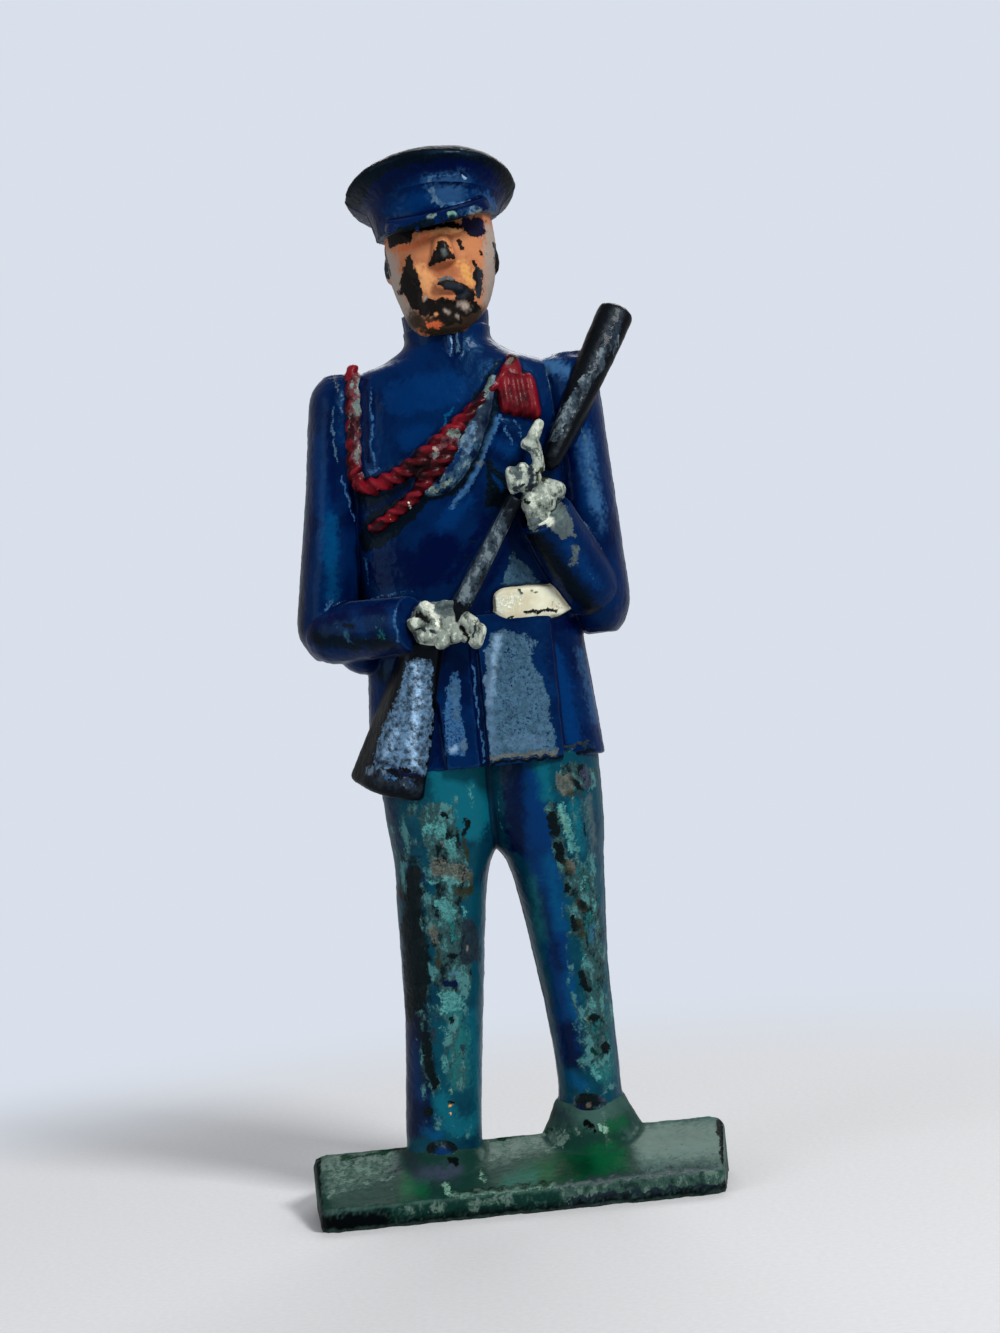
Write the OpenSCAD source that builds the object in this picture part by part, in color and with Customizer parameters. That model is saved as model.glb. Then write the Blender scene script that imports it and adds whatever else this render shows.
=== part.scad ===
// Toy soldier at port arms: a painted metal casting on an oblong stand.
// The figure faces -Y and its own right hand is on the -X side. The plane y = 0 is the
// parting plane of the two-part mould, and the forms are widest there.
// The origin is the centre of the stand's underside. Lengths are in millimetres.

/* [Stand] */
// Width of the stand at the parting line
base_w = 29.8; // [28:0.1:34]
// Depth of the stand, front to back
base_d = 15; // [13.5:0.1:18]
// Height of the stand's front and back edges
base_edge_h = 1.6; // [1.2:0.1:2]
// Height of the stand along the parting line
base_ridge_h = 4; // [3.2:0.1:4.2]
// How far each end draws in from the parting line to the front and back edges
base_draft = 0.85; // [0.3:0.05:1.5]
// Radius of the stand's four upright corners
base_corner_r = 0.9; // [0.3:0.1:2]
// Height of the raised ground round the right foot
right_ground_h = 4.3; // [4.2:0.1:4.8]
// Height of the raised ground round the left foot
left_ground_h = 6.2; // [5.2:0.1:6.8]
// Diameter of the top of each mound of ground
mound_top_w = 5; // [4:0.1:5.2]
// How far a mound spreads beyond its top, all round
mound_spread = 3.7; // [2:0.1:3.8]

/* [Heights, each from the one below] */
// From the ground to the tunic's hem
leg_h = 31; // [28:0.1:34]
// From the hem to the belt's lower edge
skirt_h = 10.2; // [9:0.1:11]
// From the belt's lower edge to the shoulder line
torso_h = 18; // [17:0.1:19]
// From the shoulder line to the collar's foot
neck_h = 1.8; // [1.4:0.1:2.2]
// From the collar's foot to the chin
chin_h = 0.9; // [0.6:0.1:1.2]
// From the chin to the cap's band
face_h = 7.85; // [7.4:0.05:8.4]

/* [Places across, from the middle of the body] */
// Middle of the body, from the middle of the stand
body_x = 0.55; // [0:0.05:1]
// Seam between the legs
seam_shift = -0.1; // [-0.4:0.05:0.2]
// Collar
collar_shift = 0.2; // [-0.1:0.05:0.5]
// Head
head_shift = 0.35; // [0.1:0.05:0.6]
// Cap band and peak
band_shift = 0.3; // [0.1:0.05:0.5]
// Rim of the cap's crown
rim_shift = -0.05; // [-0.3:0.05:0.2]
// Highest point of the cap's crown
crown_shift = 1.05; // [0.5:0.05:1.4]

/* [Feet] */
// How far the right foot is from the seam between the legs
right_step = 5.8; // [5.4:0.05:6.2]
// How far the left foot is from the seam
left_step = 5; // [4.7:0.05:5.4]
// How far the right foot stands forward and the left foot back
stride = 0.8; // [0:0.1:1.1]
// Width of a shoe
shoe_w = 3.4; // [2.8:0.1:3.8]
// Length of a shoe in front of the foot's centre
shoe_reach = 4; // [3.4:0.1:4.4]
// Height of a shoe's instep
shoe_h = 1.9; // [1.4:0.1:2.4]

/* [Trousers] */
// Width of the right trouser leg at its foot
right_cuff_w = 5.4; // [4.8:0.1:5.6]
// Width of the left trouser leg at its foot
left_cuff_w = 4.7; // [4.4:0.1:5.4]
// Depth of a trouser leg at its foot
cuff_d = 5.2; // [4.4:0.1:5.6]
// How far the two thighs would run into each other if the seam didn't part them
thigh_over = 1.55; // [1:0.05:2.2]
// How much shallower a trouser leg is than the hem, where it goes under the tunic
thigh_taper_d = 0.8; // [0.4:0.1:1.4]
// How far the outer side of the right thigh is inside the hem
right_thigh_in = 0.55; // [0.3:0.05:0.8]
// How far the outer side of the left thigh is inside the hem
left_thigh_in = 0.5; // [0.3:0.05:0.8]

/* [Tunic] */
// Width of the chest
chest_w = 16.6; // [15.8:0.1:17.4]
// Depth of the chest
chest_d = 8.6; // [8:0.1:9.2]
// How much narrower the waist is than the chest
waist_taper_w = 1.4; // [0.8:0.1:2]
// How much shallower the waist is than the chest
waist_taper_d = 0.8; // [0.4:0.1:1.4]
// How much narrower the shoulders are than the chest, without the sleeves
shoulder_taper_w = 1.6; // [1:0.1:2.4]
// How much shallower the shoulders are than the chest
shoulder_taper_d = 1.8; // [1.2:0.1:2.4]
// How much wider the hem is than the waist
skirt_flare_w = 1.7; // [1:0.1:2.4]
// How much deeper the hem is than the waist
skirt_flare_d = 1.1; // [0.6:0.1:1.6]
// Squareness of the body in plan, 2 being an ellipse
body_power = 2.3; // [2.1:0.05:2.6]
// Thickness of a front panel of the skirt
panel_t = 0.4; // [0.2:0.05:0.6]
// Width of the left front panel
left_panel_w = 5.2; // [3.6:0.1:6]
// Width of the right front panel, which goes behind the rifle
right_panel_w = 2.6; // [2:0.1:3.2]
// Gap between the two front panels
opening_w = 0.7; // [0.4:0.05:1]
// Height of the belt
belt_h = 2.1; // [1.6:0.1:2.4]
// How far the belt stands out from the tunic
belt_t = 0.45; // [0.2:0.05:0.6]
// How far the belt's front end, beside the right hand, is from the middle of the body
belt_end_out = 1.35; // [1.2:0.05:1.7]
// Width of the collar
collar_w = 6.2; // [5.8:0.1:6.8]
// Depth of the collar
collar_d = 5.8; // [5.4:0.1:6.4]
// Height of the collar
collar_h = 2.4; // [1.8:0.1:2.8]
// Width of each of the two edges that meet in front of the collar
collar_edge_w = 0.45; // [0.2:0.05:0.6]

/* [Head] */
// Width of the head across the cheekbones
head_w = 8; // [7.4:0.1:8.4]
// Depth of the head at the temples
head_d = 8.4; // [7.8:0.1:8.8]
// Width of the nose
nose_w = 2; // [1.4:0.1:2.4]
// Length of the nose
nose_h = 2.2; // [1.6:0.1:2.6]
// How far the nose stands out
nose_t = 0.6; // [0.4:0.05:0.9]
// Height of an ear
ear_h = 2; // [1.4:0.1:2.4]
// Width of an ear, front to back
ear_w = 1.3; // [0.8:0.1:1.8]
// How far an ear stands out
ear_t = 0.4; // [0.2:0.05:0.6]

/* [Cap] */
// Width of the band at its lower edge
band_w = 8.9; // [8.7:0.1:9.4]
// Depth of the band at its lower edge
band_d = 9; // [8.9:0.1:9.6]
// Height of the band at the sides
band_h = 1.4; // [1.2:0.1:1.8]
// How much wider the band is at its top
band_flare = 1; // [0.4:0.1:1.4]
// How steeply the band's lower edge rises to the figure's left
band_lean = 0.13; // [0:0.01:0.15]
// How steeply the band's top rises to the front
band_slope = 0.2; // [0.05:0.01:0.22]
// Width of the crown at its rim
crown_w = 12.2; // [11.4:0.1:13]
// Depth of the crown at its rim
crown_d = 11.2; // [10.6:0.1:12]
// Height from the band's top to the crown's rim
crown_rise = 1; // [0.8:0.1:1.6]
// Height of the crown's domed top above its rim
crown_dome = 2.2; // [1.8:0.1:3]
// How steeply the crown's rim rises to the front
crown_slope = 0.33; // [0.2:0.01:0.35]
// How steeply the crown's rim drops to the figure's left
crown_lean = 0.02; // [0:0.01:0.1]
// Width of the peak
peak_w = 8; // [7:0.1:8.4]
// How far the peak stands out from the band
peak_reach = 1.3; // [0.8:0.1:1.8]
// Thickness of the peak
peak_t = 0.7; // [0.5:0.05:0.9]
// How steeply the peak slopes down to its front edge
peak_slope = 0.35; // [0.2:0.05:0.45]

/* [Sleeves] */
// Width of an upper sleeve
sleeve_w = 4.4; // [4:0.1:4.8]
// Depth of an upper sleeve
sleeve_d = 6.2; // [5.6:0.1:6.8]
// How far the sleeves rise above the shoulder line
sleeve_rise = 0.4; // [0.1:0.1:0.8]
// How far the elbows hang below the belt's lower edge
elbow_drop = 1.6; // [1.2:0.1:2]
// How far the middle of the right sleeve is from the side of the shoulders
right_shoulder_out = 0.6; // [0.4:0.05:0.9]
// How far the middle of the left sleeve is from the side of the shoulders
left_shoulder_out = 1.1; // [0.8:0.05:1.3]
// How far the middle of the right elbow is from the side of the waist
right_elbow_out = 2.85; // [2.5:0.05:3.2]
// How far the middle of the left elbow is from the side of the waist
left_elbow_out = 1.6; // [1.3:0.05:1.9]
// Thickness of a forearm at the elbow
forearm_elbow_w = 4.5; // [4.1:0.1:4.8]
// Thickness of a forearm at the cuff
forearm_cuff_w = 3.9; // [3.5:0.1:4.2]
// How far the right cuff is above the belt's lower edge
right_cuff_h = 0.3; // [0:0.05:0.6]
// How far the left cuff is above the belt's lower edge
left_cuff_h = 7; // [6.6:0.05:7.4]
// How far the middle of the hands is in front of the waist
hand_out = 1.2; // [1:0.05:1.4]

/* [Gloves] */
// Length of the right glove across the rifle
right_glove_l = 5.2; // [4.8:0.1:5.6]
// Breadth of the right glove over the knuckles
right_glove_w = 4.1; // [3.8:0.1:4.4]
// Length of the left glove, cuff to knuckles
left_glove_l = 4.6; // [4.2:0.1:5]
// Breadth of the left glove over the knuckles
left_glove_w = 4; // [3.7:0.1:4.3]
// Thickness of a glove from back to palm
glove_t = 2.7; // [2.4:0.1:3]
// Width of a finger
finger_w = 1; // [0.85:0.05:1.15]
// Length of a curled finger
finger_l = 2.6; // [2.2:0.1:2.9]

/* [Rifle] */
// Width of the rifle at the small of the butt
grip_w = 1.9; // [1.6:0.05:2.2]
// Width of the rifle where the left hand holds it
forestock_w = 1.4; // [1.2:0.05:1.7]
// Width of the rifle at its muzzle end
muzzle_w = 2.7; // [2.3:0.1:3]
// Width of the front of the butt at its end
butt_w = 3.7; // [3.3:0.1:4.1]
// Width of the front of the butt below the right hand
butt_neck_w = 2.6; // [2.3:0.1:2.9]
// Depth of the butt at its end
butt_d = 5.2; // [4.8:0.1:5.8]
// How much the casting's draft widens the butt's outer side from front to back
butt_flank = 2.7; // [1.8:0.1:3]
// How far the end of the butt is below the belt's lower edge
butt_drop = 11.5; // [11:0.1:12]
// How far the end of the butt is from the side of the hem
butt_in = 2.1; // [1.8:0.05:2.4]
// How far the muzzle end is outside the shoulders
muzzle_out = 5.05; // [4.7:0.05:5.4]
// How far the muzzle end is above the shoulder line
muzzle_h = 3.4; // [3:0.1:3.8]
// Width of the casting's web between the barrel and the shoulder
web_w = 4.2; // [3.4:0.1:4.8]

/* [Aiguillette] */
// Thickness of the plaited cord
cord_w = 1.25; // [1.05:0.05:1.4]
// Length of cord for one turn of its twist
cord_pitch = 2.2; // [1.8:0.1:3]
// Depth of the grooves between the cord's strands, as a share of its thickness
groove_share = 0.2; // [0.1:0.02:0.26]
// How far the cord stands out from the tunic, as a share of its thickness
proud_share = 0.7; // [0.6:0.05:0.8]
// Thickness of the flat plait
plait_t = 0.5; // [0.3:0.05:0.7]
// Width of the flat plait at its widest
plait_w = 2.2; // [1.8:0.1:2.6]
// Height of the shoulder knot
knot_h = 3.4; // [3:0.1:3.8]
// Width of the shoulder knot
knot_w = 2.5; // [2.1:0.1:2.9]
// Thickness of the shoulder knot
knot_t = 0.7; // [0.5:0.05:0.9]
// Number of hanging loops in the shoulder knot
knot_loops = 4; // [3:1:4]

/* [Hidden] */
// Sides of a ring on the body, on the head, on a limb, on a small form and on a cord
body_sides = 28;
head_sides = 24;
limb_sides = 18;
small_sides = 12;
cord_sides = 10;
// Rings between two named stations of the chest, of a cord and of the plait
chest_steps = 3;
cord_steps = 6;
plait_steps = 3;
// Overrun that carries a cut clear of a face
overrun = 1;
// Angles
full_turn = 360;
quarter_turn = 90;

hem_z = leg_h;
belt_z = hem_z + skirt_h;
shoulder_z = belt_z + torso_h;
neck_z = shoulder_z + neck_h;
chin_z = neck_z + chin_h;
band_z = chin_z + face_h;
elbow_z = belt_z - elbow_drop;

waist_w = chest_w - waist_taper_w;
waist_d = chest_d - waist_taper_d;
shoulder_w = chest_w - shoulder_taper_w;
shoulder_d = chest_d - shoulder_taper_d;
hem_w = waist_w + skirt_flare_w;
hem_d = waist_d + skirt_flare_d;
thigh_d = hem_d - thigh_taper_d;
thigh_w = (hem_w - right_thigh_in - left_thigh_in + thigh_over) / 2;
seam_x = body_x + seam_shift;
collar_x = body_x + collar_shift;
head_x = body_x + head_shift;
band_x = body_x + band_shift;
rim_x = body_x + rim_shift;
crown_x = body_x + crown_shift;

// Lofts

function signed_power(v, p) = sign(v) * pow(abs(v), p);
function mix(a, b, t) = a * (1 - t) + b * t;
function unit(v) = v / norm(v);

// A level ring of a loft: a superellipse whose plane may lean by a slope along x and y.
// A flank widens its -x side towards the back.
function ring(centre, half, power, sides, slope = [0, 0], flank = 0) = [
    for (i = [0:sides - 1])
        let (
            turn = full_turn * i / sides,
            x = half[0] * signed_power(cos(turn), 2 / power),
            y = half[1] * signed_power(sin(turn), 2 / power),
            out = x < 0 ? flank * x / half[0] * (1 + y / half[1]) / 2 : 0
        )
        centre + [x + out, y, slope[0] * x + slope[1] * y]
];

// A point of a smooth curve through stations, t of the way from station i to the next.
function curve_point(p, i, t) =
    let (
        before = p[max(i - 1, 0)],
        after = p[min(i + 2, len(p) - 1)],
        a = p[i],
        b = p[i + 1]
    )
    (2 * a + (b - before) * t + (2 * before - 5 * a + 4 * b - after) * t * t
        + (3 * a - before - 3 * b + after) * t * t * t) / 2;

function smooth(p, steps) = [
    for (i = [0:len(p) - 2], k = [0:steps - 1]) curve_point(p, i, k / steps),
    p[len(p) - 1]
];

// A closed skin over rings that all have the same number of points, lowest ring first.
module skin(rings) {
    n = len(rings[0]);
    m = len(rings);
    sides = [
        for (j = [0:m - 2], i = [0:n - 1])
            let (k = (i + 1) % n, a = j * n + i, b = j * n + k, c = b + n, d = a + n)
            each [[a, d, c], [a, c, b]]
    ];
    foot = [for (i = [0:n - 1]) i];
    head = [for (i = [n - 1:-1:0]) (m - 1) * n + i];
    polyhedron([for (r = rings) each r], concat(sides, [foot], [head]));
}

// A loft of level rings through stations [x, y, z, half width, half depth].
module upright(stations, power, sides, steps = 1, grow = 0)
    skin([
        for (s = smooth(stations, steps))
            ring([s[0], s[1], s[2]], [s[3] + grow, s[4] + grow], power, sides)
    ]);

// A loft along the line from a to b, whose sections keep their depth along y. Sizes are
// [width, depth] at each end, and each entry of profile_shares is [share of the length,
// share of the size there]. The flank is that at a, on the section's own -x side.
module limb(a, b, size_a, size_b, profile_shares, power, sides, flank = 0) {
    run = b - a;
    side = unit(cross([0, 1, 0], run));
    back = cross(unit(run), side);
    skin([
        for (p = profile_shares)
            let (half = mix(size_a, size_b, p[0]) * p[1] / 2)
            [
                for (q = ring([0, 0, 0], half, power, sides, [0, 0], flank * (1 - p[0])))
                    a + p[0] * run + q[0] * side + q[1] * back
            ]
    ]);
}

// Share of the length of a limb and share of its size there
round_both_shares = [
    [0, 0.3], [0.03, 0.6], [0.1, 0.85], [0.2, 1], [0.5, 1.02], [0.8, 1], [0.9, 0.85], [0.97, 0.6], [1, 0.3]
];
round_foot_shares = [[0, 0.35], [0.04, 0.62], [0.12, 0.86], [0.26, 1], [0.6, 1.02], [1, 1]];
straight_shares = [[0, 1], [0.5, 1.02], [1, 1]];

// Stand: a plate that is drafted from the parting line, and a mound of ground at each foot

plate_half = [base_w / 2, base_d / 2];
right_foot = [seam_x - right_step, -stride];
left_foot = [seam_x + left_step, stride];

module plate_profile()
    polygon([
        [-plate_half[1], 0], [plate_half[1], 0], [plate_half[1], base_edge_h],
        [0, base_ridge_h], [-plate_half[1], base_edge_h]
    ]);

// The rounded corner of the plate's outline in one quarter, counted from +x, +y.
function corner(quarter) =
    let (
        sx = quarter == 0 || quarter == 3 ? 1 : -1,
        sy = quarter < 2 ? 1 : -1,
        centre = [
            sx * (plate_half[0] - base_draft - base_corner_r),
            sy * (plate_half[1] - base_corner_r)
        ],
        steps = 6
    )
    [
        for (k = [0:steps])
            let (turn = quarter_turn * (quarter + k / steps))
            centre + base_corner_r * [cos(turn), sin(turn)]
    ];

module plate_outline()
    polygon(concat(
        [[plate_half[0], 0]], corner(0), corner(1), [[-plate_half[0], 0]], corner(2), corner(3)
    ));

// Share of a mound's height at each share of the way in to its top
mound_power = 1.7;
mound_steps = 6;

module mound(foot, h) {
    curve = [
        for (k = [0:mound_steps])
            let (in_share = k / mound_steps)
            [
                mound_top_w / 2 + mound_spread * (1 - in_share),
                mix(base_edge_h, h, pow(in_share, mound_power))
            ]
    ];
    translate([foot[0], foot[1], 0])
        rotate_extrude($fn = 48)
            polygon(concat([[0, base_edge_h]], curve, [[0, h]]));
}

module base_form() {
    intersection() {
        rotate([quarter_turn, 0, quarter_turn])
            translate([0, 0, -plate_half[0] - overrun])
                linear_extrude(base_w + 2 * overrun) plate_profile();
        linear_extrude(base_ridge_h + overrun) plate_outline();
    }
    mound(right_foot, right_ground_h);
    mound(left_foot, left_ground_h);
}

module base_plate() color("darkgreen") base_form();

// Shoes: only the toe and instep come out of the ground in front of each trouser leg

shoe_shares = [
    // share of the height, of the width, of the length, and how far back the ring sits
    [0, 0.94, 0.97, 0], [0.3, 1, 1, 0], [0.6, 0.95, 0.96, 0.03], [0.85, 0.72, 0.82, 0.1], [1, 0.4, 0.6, 0.16]
];

module shoe_form(foot, ground_h)
    skin([
        for (s = shoe_shares)
            ring(
                [
                    foot[0], foot[1] - shoe_reach * (0.5 - s[3]),
                    mix(base_edge_h / 2, ground_h + shoe_h / 2, s[0])
                ],
                [shoe_w * s[1], shoe_reach * s[2]] / 2, body_power, limb_sides
            )
    ]);

module right_shoe()
    color("black") difference() {
        shoe_form(right_foot, right_ground_h);
        base_form();
        right_leg_form();
    }

module left_shoe()
    color("black") difference() {
        shoe_form(left_foot, left_ground_h);
        base_form();
        left_leg_form();
    }

// Trousers: a straight shin, and a thigh that spreads to meet the other at the seam

leg_power = 2.1;
right_leg_shares = [
    // share of the height, of the way from foot to hip, of the growth in width, of that in depth
    [0, 0, 0, 0], [0.12, 0.106, 0.02, 0.06], [0.375, 0.417, 0.07, 0.28], [0.663, 0.68, 0.3, 0.58],
    [0.738, 0.81, 0.41, 0.7], [0.794, 0.936, 0.61, 0.82], [0.888, 1, 0.85, 0.95], [1, 1, 1, 1]
];
left_leg_shares = [
    [0, 0, 0, 0], [0.125, -0.08, -0.04, 0.06], [0.3, 0.07, 0.035, 0.2], [0.423, 0.23, 0.125, 0.32],
    [0.597, 0.37, 0.34, 0.52], [0.718, 0.54, 0.55, 0.68], [0.778, 0.77, 0.79, 0.82], [0.88, 0.96, 0.975, 0.95],
    [1, 1, 1, 1]
];

module leg_form(shares, foot, foot_w, hip_x, ground_h)
    upright([
        for (s = shares)
            [
                mix(foot[0], hip_x, s[1]), mix(foot[1], 0, s[1]), mix(ground_h - shoe_h / 2, hem_z, s[0]),
                mix(foot_w, thigh_w, s[2]) / 2, mix(cuff_d, thigh_d, s[3]) / 2
            ]
    ], leg_power, limb_sides + 2);

right_hip_x = body_x - hem_w / 2 + right_thigh_in + thigh_w / 2;
left_hip_x = body_x + hem_w / 2 - left_thigh_in - thigh_w / 2;

module right_leg_form()
    leg_form(right_leg_shares, right_foot, right_cuff_w, right_hip_x, right_ground_h);

module left_leg_form()
    leg_form(left_leg_shares, left_foot, left_cuff_w, left_hip_x, left_ground_h);

// Everything on the figure's right, for -1, or left, for 1, of the seam between the legs.
module side_of_seam(side)
    translate([seam_x + side * base_w / 2, 0, hem_z / 2])
        cube([base_w, base_d, hem_z + 2 * overrun], center = true);

module right_trouser_leg()
    color("teal") difference() {
        intersection() {
            right_leg_form();
            side_of_seam(-1);
        }
        base_form();
    }

module left_trouser_leg()
    color("teal") difference() {
        intersection() {
            left_leg_form();
            side_of_seam(1);
        }
        base_form();
    }

// Tunic: a flared skirt below the belt and a chest above its lower edge

skirt_stations = [
    [body_x, 0, hem_z, hem_w / 2, hem_d / 2],
    [body_x, 0, (hem_z + belt_z) / 2, (hem_w + waist_w) / 4, (hem_d + waist_d) / 4],
    [body_x, 0, belt_z, waist_w / 2, waist_d / 2]
];
chest_shares = [
    // share of the way from belt to shoulder line, and of the growth from waist to chest
    [0, 0, 0], [0.34, 0.55, 0.65], [0.68, 1, 1]
];
chest_stations = concat(
    [
        for (s = chest_shares)
            [
                body_x, 0, mix(belt_z, shoulder_z, s[0]),
                mix(waist_w, chest_w, s[1]) / 2, mix(waist_d, chest_d, s[2]) / 2
            ]
    ],
    [
        [body_x, 0, shoulder_z, shoulder_w / 2, shoulder_d / 2],
        [collar_x, 0, neck_z, collar_w / 2, collar_d / 2]
    ]
);

module skirt_form(grow = 0) upright(skirt_stations, body_power, body_sides, 2, grow);
module chest_form() upright(chest_stations, body_power, body_sides, chest_steps);

module tunic_skirt() color("navy") skirt_form();
module tunic_chest() color("navy") chest_form();

// A front panel of the skirt between two places across: a layer on the skirt's face.
module skirt_panel(x0, x1)
    intersection() {
        difference() {
            skirt_form(panel_t);
            skirt_form();
        }
        translate([x0, -hem_d, hem_z])
            cube([x1 - x0, hem_d, belt_z - hem_z]);
    }

panel_edge_x = seam_x + opening_w / 2;

module left_skirt_panel() color("navy") skirt_panel(panel_edge_x, panel_edge_x + left_panel_w);

module right_skirt_panel()
    color("navy") difference() {
        skirt_panel(panel_edge_x - opening_w - right_panel_w, panel_edge_x - opening_w);
        butt_form();
        right_forearm_form();
        right_glove_form();
        grip_form();
    }

// The chest's half width, half depth and front face at a height

chest_rings = smooth(chest_stations, chest_steps);
half_w_table = [for (s = chest_rings) [s[2], s[3]]];
half_d_table = [for (s = chest_rings) [s[2], s[4]]];

function chest_front(x, z) =
    let (out_share = min(0.98, abs(x - body_x) / lookup(z, half_w_table)))
    -lookup(z, half_d_table) * pow(1 - pow(out_share, body_power), 1 / body_power);

// Belt: it ends beside the right hand, because hand and forearm hide its place there

module belt_form()
    upright([
        for (z = [belt_z, belt_z + belt_h / 2, belt_z + belt_h])
            [body_x, 0, z, lookup(z, half_w_table) + belt_t, lookup(z, half_d_table) + belt_t]
    ], body_power, body_sides);

module belt_strip()
    difference() {
        belt_form();
        translate([body_x + belt_end_out - base_w, -base_d, belt_z - overrun])
            cube([base_w, base_d, belt_h + 2 * overrun]);
    }

module belt()
    color("ivory") difference() {
        belt_strip();
        chest_form();
    }

// Collar, with the edges that meet in front

module collar_form() {
    upright([
        [collar_x, 0, neck_z, collar_w / 2, collar_d / 2],
        [collar_x, 0, neck_z + collar_h * 0.4, collar_w * 0.49, collar_d * 0.485],
        [collar_x, 0, neck_z + collar_h, collar_w / 2, collar_d / 2]
    ], 2, body_sides);
    for (side = [-1, 1])
        translate([collar_x + side * collar_edge_w * 0.6, collar_edge_w / 3 - collar_d / 2, neck_z])
            cylinder(h = collar_h, r = collar_edge_w / 2, $fn = 16);
}

module collar()
    color("navy") difference() {
        collar_form();
        head_form();
    }

// Head: a plain oval with a jaw that narrows to the chin, a nose and two ears

head_shares = [
    // share of the face's height, then across, back, width and depth as shares of the head's
    [0, -0.05, -0.27, 0.36, 0.24], [0.053, -0.04, -0.22, 0.52, 0.46], [0.15, -0.02, -0.13, 0.68, 0.66],
    [0.32, 0, -0.06, 0.81, 0.84], [0.535, 0, -0.03, 0.93, 0.95], [0.77, 0, 0, 1, 1], [1.06, 0, 0, 0.94, 0.94]
];
head_power = 2.1;
nose_tip = [head_x + head_w * 0.02, -head_d * 0.49 - nose_t * 0.35, chin_z + face_h * 0.545];

module nose()
    limb(
        nose_tip, nose_tip + [0, nose_t * 0.75, nose_h],
        [nose_w, nose_t * 2.6], [nose_w * 0.4, nose_t], round_both_shares, 2, small_sides
    );

module ear(side)
    translate([head_x + side * head_w * 0.49, 0, nose_tip[2]])
        limb([0, 0, 0], [0, 0, ear_h], [ear_t * 2, ear_w], [ear_t * 2, ear_w],
            round_both_shares, 2, small_sides);

module head_form() {
    upright([
        for (s = head_shares)
            [
                head_x + s[1] * head_w, s[2] * head_d, chin_z + s[0] * face_h,
                s[3] * head_w / 2, s[4] * head_d / 2
            ]
    ], head_power, head_sides, 2);
    nose();
    ear(-1);
    ear(1);
}

module head()
    color("sandybrown") difference() {
        head_form();
        band_form();
        peak_form();
    }

// Cap: a band, a peak, and a crown that overhangs the band and is raised at the front

band_half = [band_w, band_d] / 2;
band_top_half = band_half + [band_flare, band_flare] / 2;
band_top_z = band_z + band_h;
band_top_lean = [0, -band_slope];
rim_half = [crown_w, crown_d] / 2;
rim_z = band_top_z + crown_rise;
rim_lean = [-crown_lean, -crown_slope];

module band_form()
    skin([
        ring([band_x, 0, band_z], band_half, 2, body_sides, [band_lean, 0]),
        ring([band_x, 0, (band_z + band_top_z) / 2], mix(band_half, band_top_half, 0.35),
            2, body_sides, [band_lean, -band_slope] / 2),
        ring([band_x, 0, band_top_z], band_top_half, 2, body_sides, band_top_lean)
    ]);

module cap_band() color("navy") band_form();

wall_shares = [
    // share of the wall's height, of the growth from band to rim
    [0, 0], [0.5, 0.6], [0.92, 0.96]
];
dome_shares = [
    // share of the dome's height, share of the rim's size there
    [0.06, 1], [0.2, 0.975], [0.42, 0.88], [0.64, 0.72], [0.84, 0.48], [0.95, 0.26], [1, 0.08]
];

module crown_form()
    skin(concat(
        [
            for (s = wall_shares)
                ring([mix(band_x, rim_x, s[1]), 0, mix(band_top_z, rim_z, s[0])],
                    mix(band_top_half, rim_half, s[1]), 2, body_sides, mix(band_top_lean, rim_lean, s[1]))
        ],
        [
            for (s = dome_shares)
                ring([mix(rim_x, crown_x, s[0]), 0, rim_z + s[0] * crown_dome],
                    rim_half * s[1], 2, body_sides, rim_lean)
        ]
    ));

module cap_crown() color("midnightblue") crown_form();

// The peak is an arc in front of the angle at which it goes into the band.
peak_start = quarter_turn / 5;
peak_power = 0.9;
peak_shares = [
    // share of the thickness, share of the outline
    [0, 0.96], [0.35, 1], [0.8, 0.97], [1, 0.9]
];

module peak_form()
    skin([
        for (s = peak_shares)
            [
                for (i = [0:limb_sides])
                    let (
                        turn = full_turn / 2 + mix(peak_start, full_turn / 2 - peak_start, i / limb_sides),
                        x = peak_w / 2 * s[1] * signed_power(cos(turn), peak_power),
                        y = (band_d / 2 + peak_reach) * s[1] * signed_power(sin(turn), peak_power),
                        lean = band_lean * x + peak_slope * (y + band_d / 2)
                    )
                    [band_x + x, y, band_z + peak_t * (s[0] - 0.5) + lean]
            ]
    ]);

module cap_peak()
    color("midnightblue") difference() {
        peak_form();
        band_form();
    }

// Sleeves: upper sleeves hang at the sides, forearms cross the body to the rifle

upper_sleeve_shares = [
    // share of the height, of the way from elbow to shoulder, of the width, of the depth
    [0, 0.06, 0.5, 0.5], [0.04, 0.04, 0.78, 0.76], [0.12, 0, 0.98, 0.95], [0.3, 0.25, 1, 1],
    [0.55, 0.6, 0.98, 1], [0.78, 0.86, 0.96, 0.98], [0.9, 0.98, 0.84, 0.84], [0.96, 1.06, 0.6, 0.62],
    [1, 1.12, 0.3, 0.34]
];
sleeve_top_z = shoulder_z + sleeve_rise;
right_elbow_x = body_x - waist_w / 2 - right_elbow_out;
left_elbow_x = body_x + waist_w / 2 + left_elbow_out;
right_shoulder_x = body_x - shoulder_w / 2 - right_shoulder_out;
left_shoulder_x = body_x + shoulder_w / 2 + left_shoulder_out;

module sleeve_form(elbow_x, shoulder_x)
    upright([
        for (s = upper_sleeve_shares)
            [
                mix(elbow_x, shoulder_x, s[1]), 0, mix(elbow_z, sleeve_top_z, s[0]),
                sleeve_w * s[2] / 2, sleeve_d * s[3] / 2
            ]
    ], 2, limb_sides);

module right_sleeve_form() sleeve_form(right_elbow_x, right_shoulder_x);
module left_sleeve_form() sleeve_form(left_elbow_x, left_shoulder_x);

// The body that sleeves, hands and rifle lie against.
module body_forms() {
    chest_form();
    belt_strip();
    skirt_form();
}

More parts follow.
